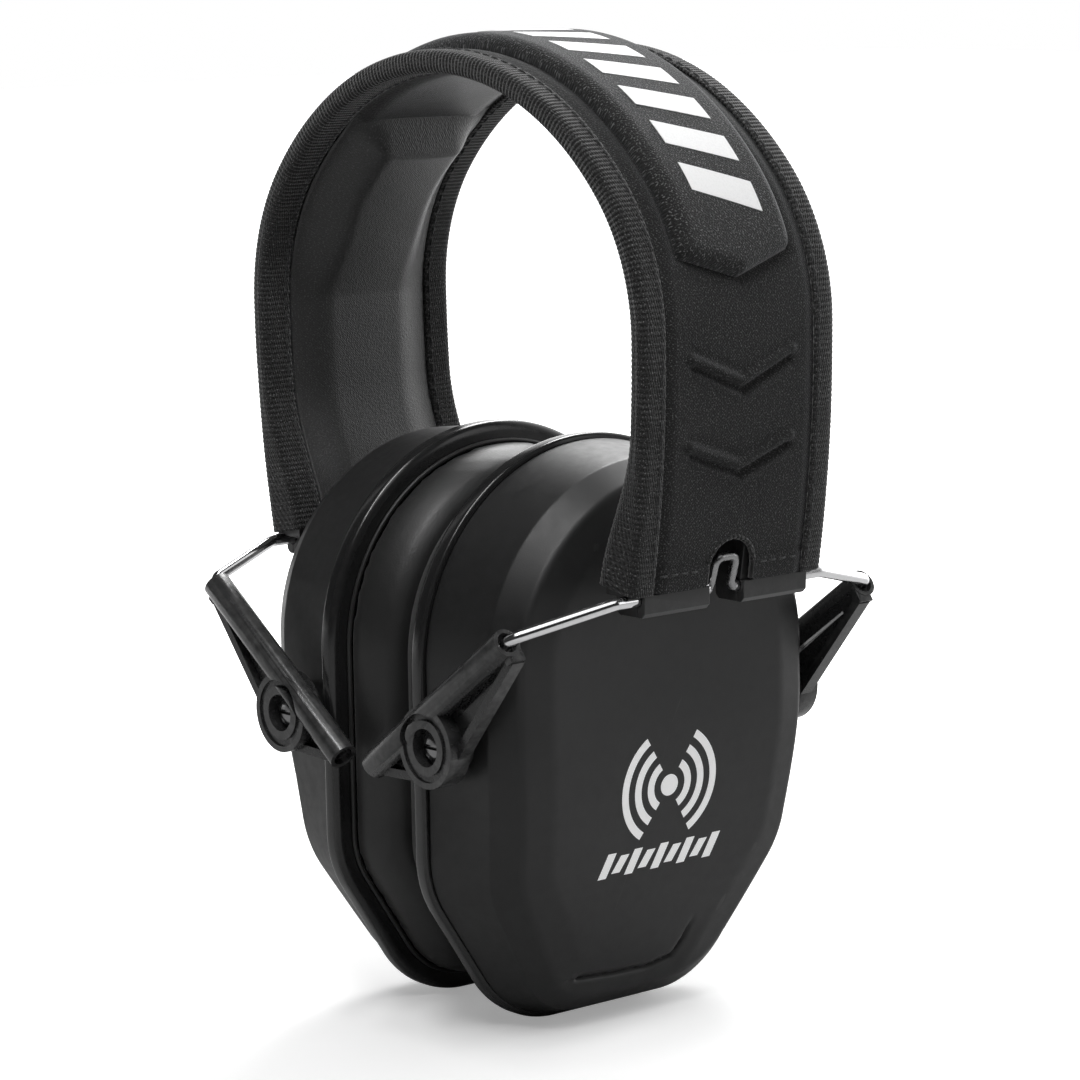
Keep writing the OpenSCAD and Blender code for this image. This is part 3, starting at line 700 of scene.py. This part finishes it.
for sy, side in ((1, "rear"), (-1, "front")):
    rings, uvs = [], []
    pts = np.array(prof_pts)
    oy = np.array([0, 0, 0, 0, 0, 0, 0.3, 0.6, 0.8, 1, 1, 1, 1, 1, 0.8, 0.5, 0.2, 0, 0, 0, 0, 0, 0, 0, 0, 0, 0, 0])
    od = np.array([0, 0, -0.8, -1, -1, -1, -1, -0.8, -0.5, 0, 0, 0, 0, 0, 0.5, 0.8, 1, 1, 1, 1, 0.8, 0, 0, 0, 0, 0, 0, 0])
    amp = (0.085 * rib - 0.03)[:, None]
    wav = 0.10 * wob(s[:, None], girth[None, :] * 3, 0.35, 5 + sy)
    Yb = hw + pts[None, :, 0] + (amp + wav * 0.6) * oy[None, :]
    D = pts[None, :, 1] + pts[None, :, 2] * tin(A)[:, None] + (amp + wav * 0.4) * od[None, :]
    X, Z = P(np.repeat(A[:, None], len(prof_pts), 1), D)
    R = np.stack([X, sy * Yb, Z], -1)
    V, F = sweep(R)
    uv = np.stack([np.repeat(s[:, None], len(prof_pts), 1), np.repeat(girth[None, :], NB, 0)], -1).reshape(-1, 2)
    bd = make(f"edge_tape_{side}", V, F, M_TAPE, "headband", uv=uv, reps=(f"edge_binding_{side}",))
    fix_normals(bd)
    st = []
    for k, c in enumerate(np.arange(-S_END + 2.5, S_END - 2, 2.6)):
        m = 7
        cs_ = c + np.linspace(-0.85, 0.85, m)
        sag = 0.16 * (np.linspace(-1, 1, m) ** 2)
        p = on_band(cs_, np.full(m, sy * (hw - 4.15 + 0.10 * math.sin(k * 1.7))), -0.12 + sag)
        st.append(tube(p, 0.21, 8))
        if abs(c) < S_END:
            aa = ang(cs_)
            x_, z_ = P(aa, tin(aa) + 0.12 - sag)
            p = np.stack([x_, np.full(m, sy * (hw - 5.0)), z_], -1)
            st.append(tube(p, 0.2, 8))
    V, F, _ = join_data(st)
    so = make(f"tape_stitches_{side}", V, F, M_THREAD, "headband")
    fix_normals(so)

# hem stitches at the lower ends of the cover
st = []
for sx in (-1, 1):
    for yv in np.arange(-15.6, 15.7, 2.3):
        if abs(yv) < 7:
            continue
        m = 6
        yy = yv + np.linspace(-0.75, 0.75, m)
        sag = 0.14 * (np.linspace(-1, 1, m) ** 2)
        st.append(tube(on_band(np.full(m, sx * (S_END - 3.2)), yy, -0.28 + sag), 0.19, 8))
V, F, _ = join_data(st)
fix_normals(make("hem_stitches", V, F, M_THREAD, "headband"))

# ------------------------------------------------------------------ cups
X_RIM = 14.85
CIRC = [(0, 67.5, 39), (19, 34, 20), (-19, 34, 20), (10, 20, 20), (-10, 20, 20)]


def outline_base(n=320):
    th = np.radians(np.arange(0, 360, 0.05) - 90)
    nx = np.stack([np.cos(th), np.sin(th)], -1)
    c = np.array(CIRC, float)
    sup = c[:, :2] @ nx.T + c[:, 2:3]
    k = sup.argmax(0)
    p = c[k, :2] + c[k, 2:3] * nx
    # resample by length; the normal follows
    q = np.concatenate([p, p[:1]]); nn = np.concatenate([nx, nx[:1]])
    L = np.concatenate([[0], np.cumsum(np.hypot(*np.diff(q, axis=0).T))])
    g = np.linspace(0, L[-1], n, endpoint=False)
    py = np.interp(g, L, q[:, 0]); pz = np.interp(g, L, q[:, 1])
    ny = np.interp(g, L, nn[:, 0]); nz = np.interp(g, L, nn[:, 1])
    m = np.hypot(ny, nz)
    return np.stack([py, pz], -1), np.stack([ny / m, nz / m], -1)


NO = 480
OB, ON = outline_base(NO)


def oline(o):
    return OB + np.asarray(o)[..., None] * ON if np.ndim(o) else OB + o * ON


def depth_k(z):
    return 1 - 0.6 * np.maximum(0, (57 - z) / 57) ** 1.6


def shell_pt(y_, z_, d):
    """d is the depth (0..22) beyond the rim"""
    f = d / 22.0
    return np.stack([X_RIM + d * depth_k(z_), y_ * (1 - 0.075 * f * ramp((60 - z_) / 34)), z_], -1)


def profile(keys, rad, step=0.5):
    P3 = [np.array([a, b, 0.0]) for a, b in keys]
    path = fillet_path(P3, rad, 0.25)
    out = [path[0]]
    for p in path[1:]:
        d = np.linalg.norm(p - out[-1])
        k = max(1, int(d / step))
        for j in range(1, k + 1):
            out.append(out[-1] + (p - out[-1]) * (j / k) if j == k else out[-1] + (p - out[-1]) / (k - j + 1))
    return np.array(out)[:, :2]


shell_prof = profile([(-0.02, -2.2), (-0.02, -0.95), (15.0, -2.7), (20.6, -5.9), (22.0, -12.0), (22.0, -19.0)], [0.5, 1.6, 2.2, 9.0], 0.33)


def shell_rings():
    rings = []
    for d, o in shell_prof:
        p = oline(o)
        rings.append(shell_pt(p[:, 0], p[:, 1], d))
    p19 = oline(-19.0)
    cen = np.array([0.0, 56.0])
    for q in np.linspace(0, 1, 26)[1:-1]:
        p = cen + (p19 - cen) * (1 - q)
        rings.append(shell_pt(p[:, 0], p[:, 1], 22.0))
    R = np.array(rings)
    # step along the foot of the face: the field stands proud of the lower border
    yy_, z = R[..., 1], R[..., 2]
    face = ramp(((R[..., 0] - X_RIM) / depth_k(z) - 18.5) / 1.5)
    foot = [(-13.7, 10.1), (-4.0, 9.4), (3.0, 9.2), (8.3, 10.4), (10.1, 13.6), (11.3, 18.2)]
    dist = np.full(z.shape, 99.0); below_ = np.zeros(z.shape)
    for a_, b_ in zip(foot[:-1], foot[1:]):
        a_, b_ = np.array(a_), np.array(b_)
        d_ = b_ - a_
        u_ = np.clip(((yy_ - a_[0]) * d_[0] + (z - a_[1]) * d_[1]) / (d_ @ d_), 0, 1)
        q_ = np.hypot(yy_ - a_[0] - u_ * d_[0], z - a_[1] - u_ * d_[1])
        side_ = (d_[0] * (z - a_[1]) - d_[1] * (yy_ - a_[0])) < 0
        nearer = q_ < dist
        below_ = np.where(nearer, side_, below_)
        dist = np.where(nearer, q_, dist)
    fade_ = ramp((18.5 - z) / 6.0)
    drop = 1.05 * np.exp(-(dist / 0.62) ** 2) * fade_ + 0.5 * below_ * ramp((5.0 - dist) / 4.0) * fade_
    R[..., 0] -= drop * face
    R[..., 0] += 0.03 * wob(R[..., 1], z, 0.35, 1.0) * face
    return R, cen


def shell_solid():
    R, cen = shell_rings()
    m, n = R.shape[:2]
    inner = []
    for d, o in ((-0.02, -3.7), (10, -5.0), (17, -8.0), (19.8, -14.0), (19.8, -19.0)):
        p = oline(o)
        inner.append(shell_pt(p[:, 0], p[:, 1], d))
    R2 = np.concatenate([np.array(inner)[::-1], R])
    mm = len(R2)
    V = np.concatenate([R2.reshape(-1, 3), [[X_RIM + 19.8, 0, 56.0]], [[X_RIM + 22.0, 0, 56.0]]])
    F = grid_faces(mm, n, wrap_v=True)
    a, b = mm * n, mm * n + 1
    for j in range(n):
        k = (j + 1) % n
        F.append((a, j, k))
        F.append(((mm - 1) * n + j, b, (mm - 1) * n + k))
    return V, F


PX, PZ = 21.586, 56.114
Y_IN = 39.3


def revolve(prof, cx, cz, sy, n=64):
    """profile of (y, r) turned about the Y-parallel axis through (cx, cz)"""
    th = np.linspace(0, 2 * np.pi, n, endpoint=False)
    R = np.array([[(cx + r * math.cos(q), sy * yv, cz + r * math.sin(q)) for q in th] for yv, r in prof])
    return sweep(R)


def face_x(y_, z_):
    # find the face's X there; the side taper is worked out but not applied
    tap = 1 - 0.075 * ramp((60 - z_) / 34)
    return X_RIM + 22.0 * depth_k(z_) + 0.03 * wob(y_, z_, 0.35, 1.0)


def face_fn(Y_, Z_, h):
    return np.stack([face_x(Y_, Z_) + h, Y_, Z_], -1)


def arc_patch(cy, cz, r0, r1, a0, a1, n=48, m=4):
    th, rr = np.meshgrid(np.radians(np.linspace(a0, a1, n)), np.linspace(r0, r1, m), indexing="ij")
    Y_, Z_ = cy + rr * np.cos(th), cz + rr * np.sin(th)
    return sheet(face_fn(Y_, Z_, 0.05), face_fn(Y_, Z_, -0.25))


def bar_patch(cy, cz, ly, lz, slant, n=8):
    uu, vv = np.meshgrid(np.linspace(-1, 1, n), np.linspace(-1, 1, n), indexing="ij")
    Y_ = cy + uu * ly / 2 + vv * slant
    Z_ = cz + vv * lz / 2
    return sheet(face_fn(Y_, Z_, 0.05), face_fn(Y_, Z_, -0.25))


def emblem():
    parts = []
    cy, cz = 0.4, 44.9
    # rings of sound spreading from a dot
    parts.append(arc_patch(cy, cz, 0.02, 2.0, 0, 359.9, 40))
    for r0, r1 in ((3.6, 5.1), (6.6, 8.1), (9.6, 11.1)):
        parts.append(arc_patch(cy, cz, r0, r1, -58, 58))
        parts.append(arc_patch(cy, cz, r0, r1, 122, 238))
    for k in range(9):
        parts.append(bar_patch(-12.4 + k * 3.1, 31.6, 1.9, 4.6 if k % 2 == 0 else 3.2, 0.9))
    return join_data(parts)


def plate_loop(keys):
    rings = []
    for xx, o in keys:
        p = oline(o)
        rings.append(np.stack([np.full(NO, xx), p[:, 0], p[:, 1]], -1))
    return np.array(rings)


plate_keys = [(13.2, -16.4), (11.7, -16.4), (11.32, -16.0), (11.3, -9.0), (11.3, -1.9), (11.34, -1.3), (11.48, -0.76), (11.74, -0.33), (12.1, -0.08), (12.6, 0.0), (13.6, 0.0), (14.2, 0.0), (14.52, -0.08), (14.72, -0.28), (14.8, -0.6),
              (14.8, -1.3), (14.8, -3.9), (15.4, -4.0), (15.4, -5.5), (13.2, -6.0)]

cushion_prof = [(11.2, -3.9), (10.2, -3.5), (8.6, -3.5), (6.6, -4.0), (4.8, -4.8), (3.2, -5.8), (2.0, -6.9), (1.1, -8.2), (0.55, -9.7), (0.32, -12.0), (0.7, -14.4), (1.7, -16.4), (3.4, -17.7), (6.0, -18.2), (8.6, -18.0), (10.2, -17.4), (11.2, -16.6)]


def cushion_loop(prof):
    rings = []
    for xx, o in prof:
        p = oline(o)
        rings.append(np.stack([np.full(NO, xx), p[:, 0], p[:, 1]], -1))
    return np.array(rings)


def cloth_puff(V, F, name, voxel, pin_fn, cap, pressure=4.0, frames=20):
    """inflate a closed form: remesh, cloth with pressure, cap the travel, apply"""
    me = bpy.data.meshes.new(name); me.from_pydata((np.asarray(V) * MM).tolist(), [], F); me.update()
    ob = bpy.data.objects.new(name, me); scene.collection.objects.link(ob)
    fix_normals(ob)
    rm = ob.modifiers.new("remesh", "REMESH"); rm.mode = "VOXEL"; rm.voxel_size = voxel * MM
    bpy.context.view_layer.update()
    bake(ob)
    rest = np.array([v.co for v in ob.data.vertices], float)
    vg = ob.vertex_groups.new(name="pin")
    w = pin_fn(rest / MM)
    for i, x in enumerate(w):
        if x > 0:
            vg.add([i], float(x), "REPLACE")
    cl = ob.modifiers.new("cloth", "CLOTH")
    st_ = cl.settings
    st_.quality = 6
    st_.mass = 0.15
    st_.tension_stiffness = 18; st_.compression_stiffness = 12; st_.shear_stiffness = 6; st_.bending_stiffness = 0.6
    st_.use_pressure = True; st_.uniform_pressure_force = pressure
    st_.effector_weights.gravity = 0
    st_.vertex_group_mass = "pin"
    cl.collision_settings.use_collision = False
    cl.collision_settings.use_self_collision = False
    cl.point_cache.frame_start = 1; cl.point_cache.frame_end = frames
    for fr in range(1, frames + 1):
        scene.frame_set(fr)
    dg = bpy.context.evaluated_depsgraph_get()
    ev = ob.evaluated_get(dg)
    sim = np.array([v.co for v in ev.data.vertices], float)
    scene.frame_set(1)
    faces = [tuple(p.vertices) for p in ob.data.polygons]
    bpy.data.objects.remove(ob)
    d = sim - rest
    L = np.linalg.norm(d, axis=1, keepdims=True)
    d = d * np.minimum(1, cap * MM / np.maximum(L, 1e-9))
    return (rest + d) / MM, faces


def cushion_mesh():
    start = [(x_ if x_ > 10 else x_ + (0.0 if x_ > 6 else 0.25), o * 1.0 - (0.35 if o > -5 else 0)) for x_, o in cushion_prof]
    V, F = sweep(cushion_loop(start), True)
    pin = lambda p: np.clip((p[:, 0] - 9.2) / 1.2, 0, 1)
    V, F = cloth_puff(V, F, "cushion_sim", 1.5, pin, 1.1, 5.0)
    # rests on its twin: flat at the middle plane
    V[:, 0] = np.maximum(V[:, 0], 0.28 + 0.02 * wob(V[:, 1], V[:, 2], 0.5))
    V[:, 0] = np.minimum(V[:, 0], 11.24)
    return V, F


shellV, shellF = shell_solid()
studs = []
for sy in (-1, 1):
    studs.append(revolve([(30.0, 5.0), (38.7, 5.0), (39.0, 4.9), (39.18, 4.6), (39.2, 2.6), (39.2, 2.2), (40.85, 2.2), (41.05, 2.05), (41.1, 1.25), (36.6, 1.25), (36.5, 1.0)], PX, PZ, sy))
SV, SF, _ = join_data([(shellV, shellF)] + studs)
embV, embF, _ = emblem()
plV, plF = sweep(plate_loop(plate_keys), True)
cuV, cuF = cushion_mesh()


def piping(x_, o, r):
    p = oline(o)
    path = np.stack([np.full(NO, x_), p[:, 0], p[:, 1]], -1)
    th = np.linspace(0, 2 * np.pi, 10, endpoint=False)
    R = np.array([[(x_ + r * math.cos(q), pp[0] + r * math.sin(q) * nn[0], pp[1] + r * math.sin(q) * nn[1]) for q in th] for pp, nn in zip(p, ON)])
    return sweep(R, True)


pip = join_data([piping(10.85, -3.6, 0.40)])


def foam_grid():
    rings = []
    for x_, o in ((17.2, -9.0), (16.5, -9.4), (16.2, -10.2), (16.0, -12.0), (16.0, -15.0), (16.0, -19.0)):
        p = oline(o)
        rings.append(np.stack([np.full(NO, x_), p[:, 0], p[:, 1]], -1))
    p19 = oline(-19.0); cen = np.array([0.0, 56.0])
    for q in np.linspace(0, 1, 16)[1:-1]:
        p = cen + (p19 - cen) * (1 - q)
        xx = 16.0 + 0.5 * np.sin(p[:, 0] * 0.9) * np.sin(p[:, 1] * 0.9)
        rings.append(np.stack([xx, p[:, 0], p[:, 1]], -1))
    back = []
    for x_, o in ((27.0, -12.5), (24.0, -10.0), (20.0, -9.2)):
        p = oline(o)
        back.append(np.stack([X_RIM + (x_ - X_RIM) * depth_k(p[:, 1]) , p[:, 0], p[:, 1]], -1))
    R = np.concatenate([np.array(back), np.array(rings)])
    V, F = sweep(R)
    return V, F


foV, foF = foam_grid()

for sx, side in ((1, "right"), (-1, "left")):
    tr = (lambda V_, F_: (np.array(V_), F_)) if sx > 0 else mirror_x
    body = f"cup_{side}"
    V, F = tr(SV, SF)
    ob = make(f"cup_shell_smooth_{side}", V, F, M_SHELL, body, reps=(f"cup_shell_{side}",)); fix_normals(ob)
    ob.data.set_sharp_from_angle(angle=math.radians(38))
    V, F = tr(plV, plF)
    ob = make(f"back_plate_rim_{side}", V, F, M_RIM, body, reps=(f"back_plate_{side}",)); fix_normals(ob)
    ob.data.set_sharp_from_angle(angle=math.radians(50))
    V, F = tr(cuV, cuF)
    ob = make(f"ear_cushion_soft_{side}", V, F, M_SKIN, body, reps=(f"ear_cushion_cover_{side}", f"ear_cushion_foam_{side}")); fix_normals(ob)
    sb_ = ob.modifiers.new("sub", "SUBSURF"); sb_.levels = 1; sb_.render_levels = 1
    V, F = tr(pip[0], pip[1])
    ob = make(f"cushion_seam_{side}", V, F, M_SKIN, body); fix_normals(ob)
    V, F = tr(foV, foF)
    ob = make(f"acoustic_foam_pad_{side}", V, F, M_FOAM, body, reps=(f"acoustic_foam_{side}",)); fix_normals(ob)
    V, F = tr(embV, embF)
    ob = make(f"cup_emblem_{side}", V, F, M_EMBLEM_GLOW, body, sharp=40); fix_normals(ob)

# pivot screws: pan heads with one straight slot
def screw(sy):
    prof = [(Y_IN - 3.0, 1.2), (Y_IN + 1.86, 1.2), (Y_IN + 1.88, 2.3), (Y_IN + 1.98, 2.55), (Y_IN + 2.35, 2.62), (Y_IN + 2.75, 2.45), (Y_IN + 3.05, 1.95), (Y_IN + 3.2, 1.2), (Y_IN + 3.25, 0.4)]
    V, F = revolve(prof, PX, PZ, sy, 48)
    return V, F


def box(lo, hi):
    V = [(x_, y_, z_) for x_ in (lo[0], hi[0]) for y_ in (lo[1], hi[1]) for z_ in (lo[2], hi[2])]
    return V, [(0, 1, 3, 2), (4, 6, 7, 5), (0, 4, 5, 1), (2, 3, 7, 6), (0, 2, 6, 4), (1, 5, 7, 3)]


def subtract(ob, V, F):
    cm = bpy.data.meshes.new("cut"); cm.from_pydata((np.asarray(V, float) * MM).tolist(), [], F); cm.update()
    co = bpy.data.objects.new("cut", cm); scene.collection.objects.link(co)
    fix_normals(co)
    md_ = ob.modifiers.new("cut", "BOOLEAN"); md_.operation = "DIFFERENCE"; md_.object = co; md_.solver = "EXACT"
    bpy.context.view_layer.update()
    bake(ob)
    bpy.data.objects.remove(co)


for sx, side in ((1, "right"), (-1, "left")):
    V, F, _ = join_data([screw(-1), screw(1)])
    cuts, cf_, _ = join_data([box((PX - 3, sy * (Y_IN + 3.0) - 0.55, PZ - 0.42), (PX + 3, sy * (Y_IN + 3.0) + 0.55, PZ + 0.42)) for sy in (-1, 1)])
    if sx < 0:
        V, F = mirror_x(V, F); cuts, cf_ = mirror_x(cuts, cf_)
    ob = make(f"slotted_screws_{side}", V, F, M_SCREW, f"cup_{side}", reps=(f"pivot_screws_{side}",)); fix_normals(ob)
    subtract(ob, cuts, cf_)
    ob.data.polygons.foreach_set("use_smooth", [True] * len(ob.data.polygons))
    ob.data.set_sharp_from_angle(angle=math.radians(35))

# ------------------------------------------------------------------ wires
SL = math.radians(35.3)
BXJ, BZJ = 50.2, 82.5


def at_bail(p):
    p = np.asarray(p, float)
    s_, y_, n_ = p[..., 0], p[..., 1], p[..., 2]
    return np.stack([BXJ - s_ * math.cos(SL) + n_ * math.sin(SL), y_, BZJ - s_ * math.sin(SL) - n_ * math.cos(SL)], -1)


ca = math.radians(180 - 72 + 35.3)
cd = (6 * math.cos(ca), -6 * math.sin(ca))
half = [(50, 41.9, 0), (7.8, 41.9, 0), (0, 24, 0), (0, 2.4, 0), (cd[0], 2.4, cd[1])]
full = half + [(p[0], -p[1], p[2]) for p in half[::-1]]
wire_path = fillet_path([at_bail(p) for p in full], [3.2, 3.2, 1.5, 1.5, 1.5, 1.5, 3.2, 3.2], 0.3)
# the crank is necked down a little where it is bent
crank_r = 1.1 - 0.28 * ramp((3.1 - np.abs(wire_path[:, 1])) / 0.8)
wV, wF = tube(wire_path, crank_r, 28)
for sx, side in ((1, "right"), (-1, "left")):
    V, F = (wV, wF) if sx > 0 else mirror_x(wV, wF)
    ob = make(f"bent_wire_{side}", V, F, M_CHROME, f"bail_{side}", reps=(f"wire_bail_{side}",), more=(M_CRANK_SHADE,)); fix_normals(ob)
    # faces of the crank take the darker wire copy: painted shade in the window
    for pl in ob.data.polygons:
        if abs(pl.center.y) < 0.0031:
            pl.material_index = 1

# ------------------------------------------------------------------ carried CAD nodes
def dress(name, mat, bevel=None):
    o = nodes[name]
    if not o.data.materials:
        o.data.materials.append(mat)
    for sl in o.material_slots:
        sl.material = mat
    if bevel:
        wl = o.modifiers.new("weld", "WELD"); wl.merge_threshold = 0.000004
        bv = o.modifiers.new("bevel", "BEVEL"); bv.width = bevel * MM; bv.segments = 2
        bv.limit_method = "ANGLE"; bv.angle_limit = math.radians(38); bv.harden_normals = False
        bv.miter_outer = "MITER_ARC"


for side in ("left", "right"):
    for fr in ("front", "rear"):
        dress(f"pivot_arm_{fr}_{side}", M_ARM, 0.28)
    dress(f"end_yoke_{side}", M_YOKE, 0.25)
    dress(f"yoke_keeper_{side}", M_YOKE, 0.25)
    dress(f"yoke_rivets_{side}", M_RIVET)
    dress(f"pivot_washers_{side}", M_WASHER)
    dress(f"cushion_ring_{side}", M_RIM)
dress("spring_band", M_STEEL)

# ------------------------------------------------------------------ floor, light, camera
def floor():
    me = bpy.data.meshes.new("floor")
    n = 4.0
    me.from_pydata([(-n, -n, -0.0002), (n, -n, -0.0002), (n, n, -0.0002), (-n, n, -0.0002)], [], [(0, 1, 2, 3)])
    o = bpy.data.objects.new("floor", me); scene.collection.objects.link(o)
    m, nt, b = new_mat("floor_white"); k = N(nt)
    co = k.coord()
    nz = k.noise(co, 0.02, 2.0)
    seen = k.node("ShaderNodeLightPath").outputs["Is Camera Ray"]
    k.link(k.mix(seen, rgb(0.52), k.mix(nz, rgb(0.90), rgb(0.93))), b.inputs["Base Color"])
    setp(b, rough=0.7, spec=0.2)
    b.inputs["Emission Color"].default_value = (1, 1, 1, 1)
    lp_ = k.node("ShaderNodeLightPath")
    ln = k.node("ShaderNodeVectorMath", operation="LENGTH")
    k.link(k.node("ShaderNodeTexCoord").outputs["Object"], ln.inputs[0])
    # camera rays: the floor glows less near the object, a painted shade round the cups that deepens their contact
    # shadow; further out it glows to plain white
    fade = k.maprange(ln.outputs["Value"], 0.09, 0.27, 0.30, 1.3)
    sp = k.node("ShaderNodeSeparateXYZ")
    k.link(k.node("ShaderNodeTexCoord").outputs["Object"], sp.inputs[0])
    far = k.math("ADD", k.math("MULTIPLY", sp.outputs[0], -0.77), k.math("MULTIPLY", sp.outputs[1], 0.63))
    glow = k.maprange(far, 0.10, 0.60, 0.0, 1.4)
    cam_ = lp_.outputs["Is Camera Ray"]
    inv = k.math("SUBTRACT", 1.0, cam_)
    k.link(k.math("ADD", k.math("MULTIPLY", fade, cam_), k.math("MULTIPLY", glow, inv)), b.inputs["Emission Strength"])
    me.materials.append(m)
    # the cups stay upright in every pose, so the floor drops with the lower one
    drv = o.driver_add("location", 2).driver
    drv.type = "MIN"
    for nm in ("cup_left", "cup_right"):
        va = drv.variables.new(); va.name = nm; va.type = "TRANSFORMS"
        va.targets[0].id = frame["bodies"][nm]
        va.targets[0].transform_type = "LOC_Z"; va.targets[0].transform_space = "WORLD_SPACE"


floor()

AZ, EL, RHO, DIST, FPX = math.radians(50.6), math.radians(8.97), math.radians(-1.14), 0.70516, 3831.72
TGT = Vector((1.16, 0.0, 85.51)) * MM
back = Vector((math.sin(AZ) * math.cos(EL), -math.cos(AZ) * math.cos(EL), math.sin(EL)))
right = Vector((math.cos(AZ), math.sin(AZ), 0))
up = back.cross(right)
r2 = math.cos(RHO) * right + math.sin(RHO) * up
u2 = -math.sin(RHO) * right + math.cos(RHO) * up
cam_d = bpy.data.cameras.new("photo_camera")
cam = bpy.data.objects.new("photo_camera", cam_d); scene.collection.objects.link(cam)
cam.matrix_world = Matrix(((r2.x, u2.x, back.x, 0), (r2.y, u2.y, back.y, 0), (r2.z, u2.z, back.z, 0), (0, 0, 0, 1)))
cam.location = TGT + back * DIST
cam_d.sensor_width = 36.0
cam_d.lens = FPX * 36.0 / 1080.0
cam_d.clip_start = 0.01; cam_d.clip_end = 50
scene.camera = cam


def area(name, loc, aim, size, power, size_y=None, color=(1, 1, 1)):
    d = bpy.data.lights.new(name, "AREA")
    d.energy = power; d.color = color
    d.shape = "RECTANGLE" if size_y else "SQUARE"
    d.size = size
    if size_y:
        d.size_y = size_y
    o = bpy.data.objects.new(name, d); scene.collection.objects.link(o)
    o.location = loc
    o.rotation_mode = "QUATERNION"
    o.rotation_quaternion = (Vector(aim) - Vector(loc)).to_track_quat("-Z", "Y")
    o.visible_camera = False
    return o


C = Vector((0, 0, 0.09))
def place(a, e, r):
    """position at azimuth a (same sense as the camera's), elevation e, range r"""
    a, e = math.radians(a), math.radians(e)
    return C + Vector((math.sin(a) * math.cos(e), -math.cos(a) * math.cos(e), math.sin(e))) * r


area("top_soft", place(60, 68, 0.9), C, 0.9, 3.4, 0.9)
area("top_key", place(36, 63, 0.8), C, 0.09, 2.8, 0.5)
area("left_strip", place(-75, 30, 0.9), C, 0.08, 0.15, 0.8)
area("right_soft", place(122, 15, 1.1), C, 0.35, 0.8, 0.6)
area("back_left", place(-140, 46, 1.0), C, 0.30, 6.0, 0.5)

world = bpy.data.worlds.new("studio"); scene.world = world
world.use_nodes = True
wt = world.node_tree; k = N(wt)
bg = wt.nodes["Background"]
out = wt.nodes["World Output"]
lp = k.node("ShaderNodeLightPath")
tc = k.node("ShaderNodeTexCoord")
dot = k.node("ShaderNodeVectorMath", operation="DOT_PRODUCT")
k.link(tc.outputs["Generated"], dot.inputs[0])
dot.inputs[1].default_value = (-0.26, 0.96, -0.08)
env = k.maprange(dot.outputs["Value"], 0.45, 0.98, 0.03, 3.2)
bg.inputs["Color"].default_value = (1, 1, 1, 1)
k.link(env, bg.inputs["Strength"])
bg2 = k.node("ShaderNodeBackground"); bg2.inputs["Color"].default_value = (1, 1, 1, 1); bg2.inputs["Strength"].default_value = 1.0
mx = k.node("ShaderNodeMixShader")
k.link(lp.outputs["Is Camera Ray"], mx.inputs[0])
k.link(bg.outputs[0], mx.inputs[1]); k.link(bg2.outputs[0], mx.inputs[2])
k.link(mx.outputs[0], out.inputs["Surface"])
scene.view_settings.view_transform = "Standard"
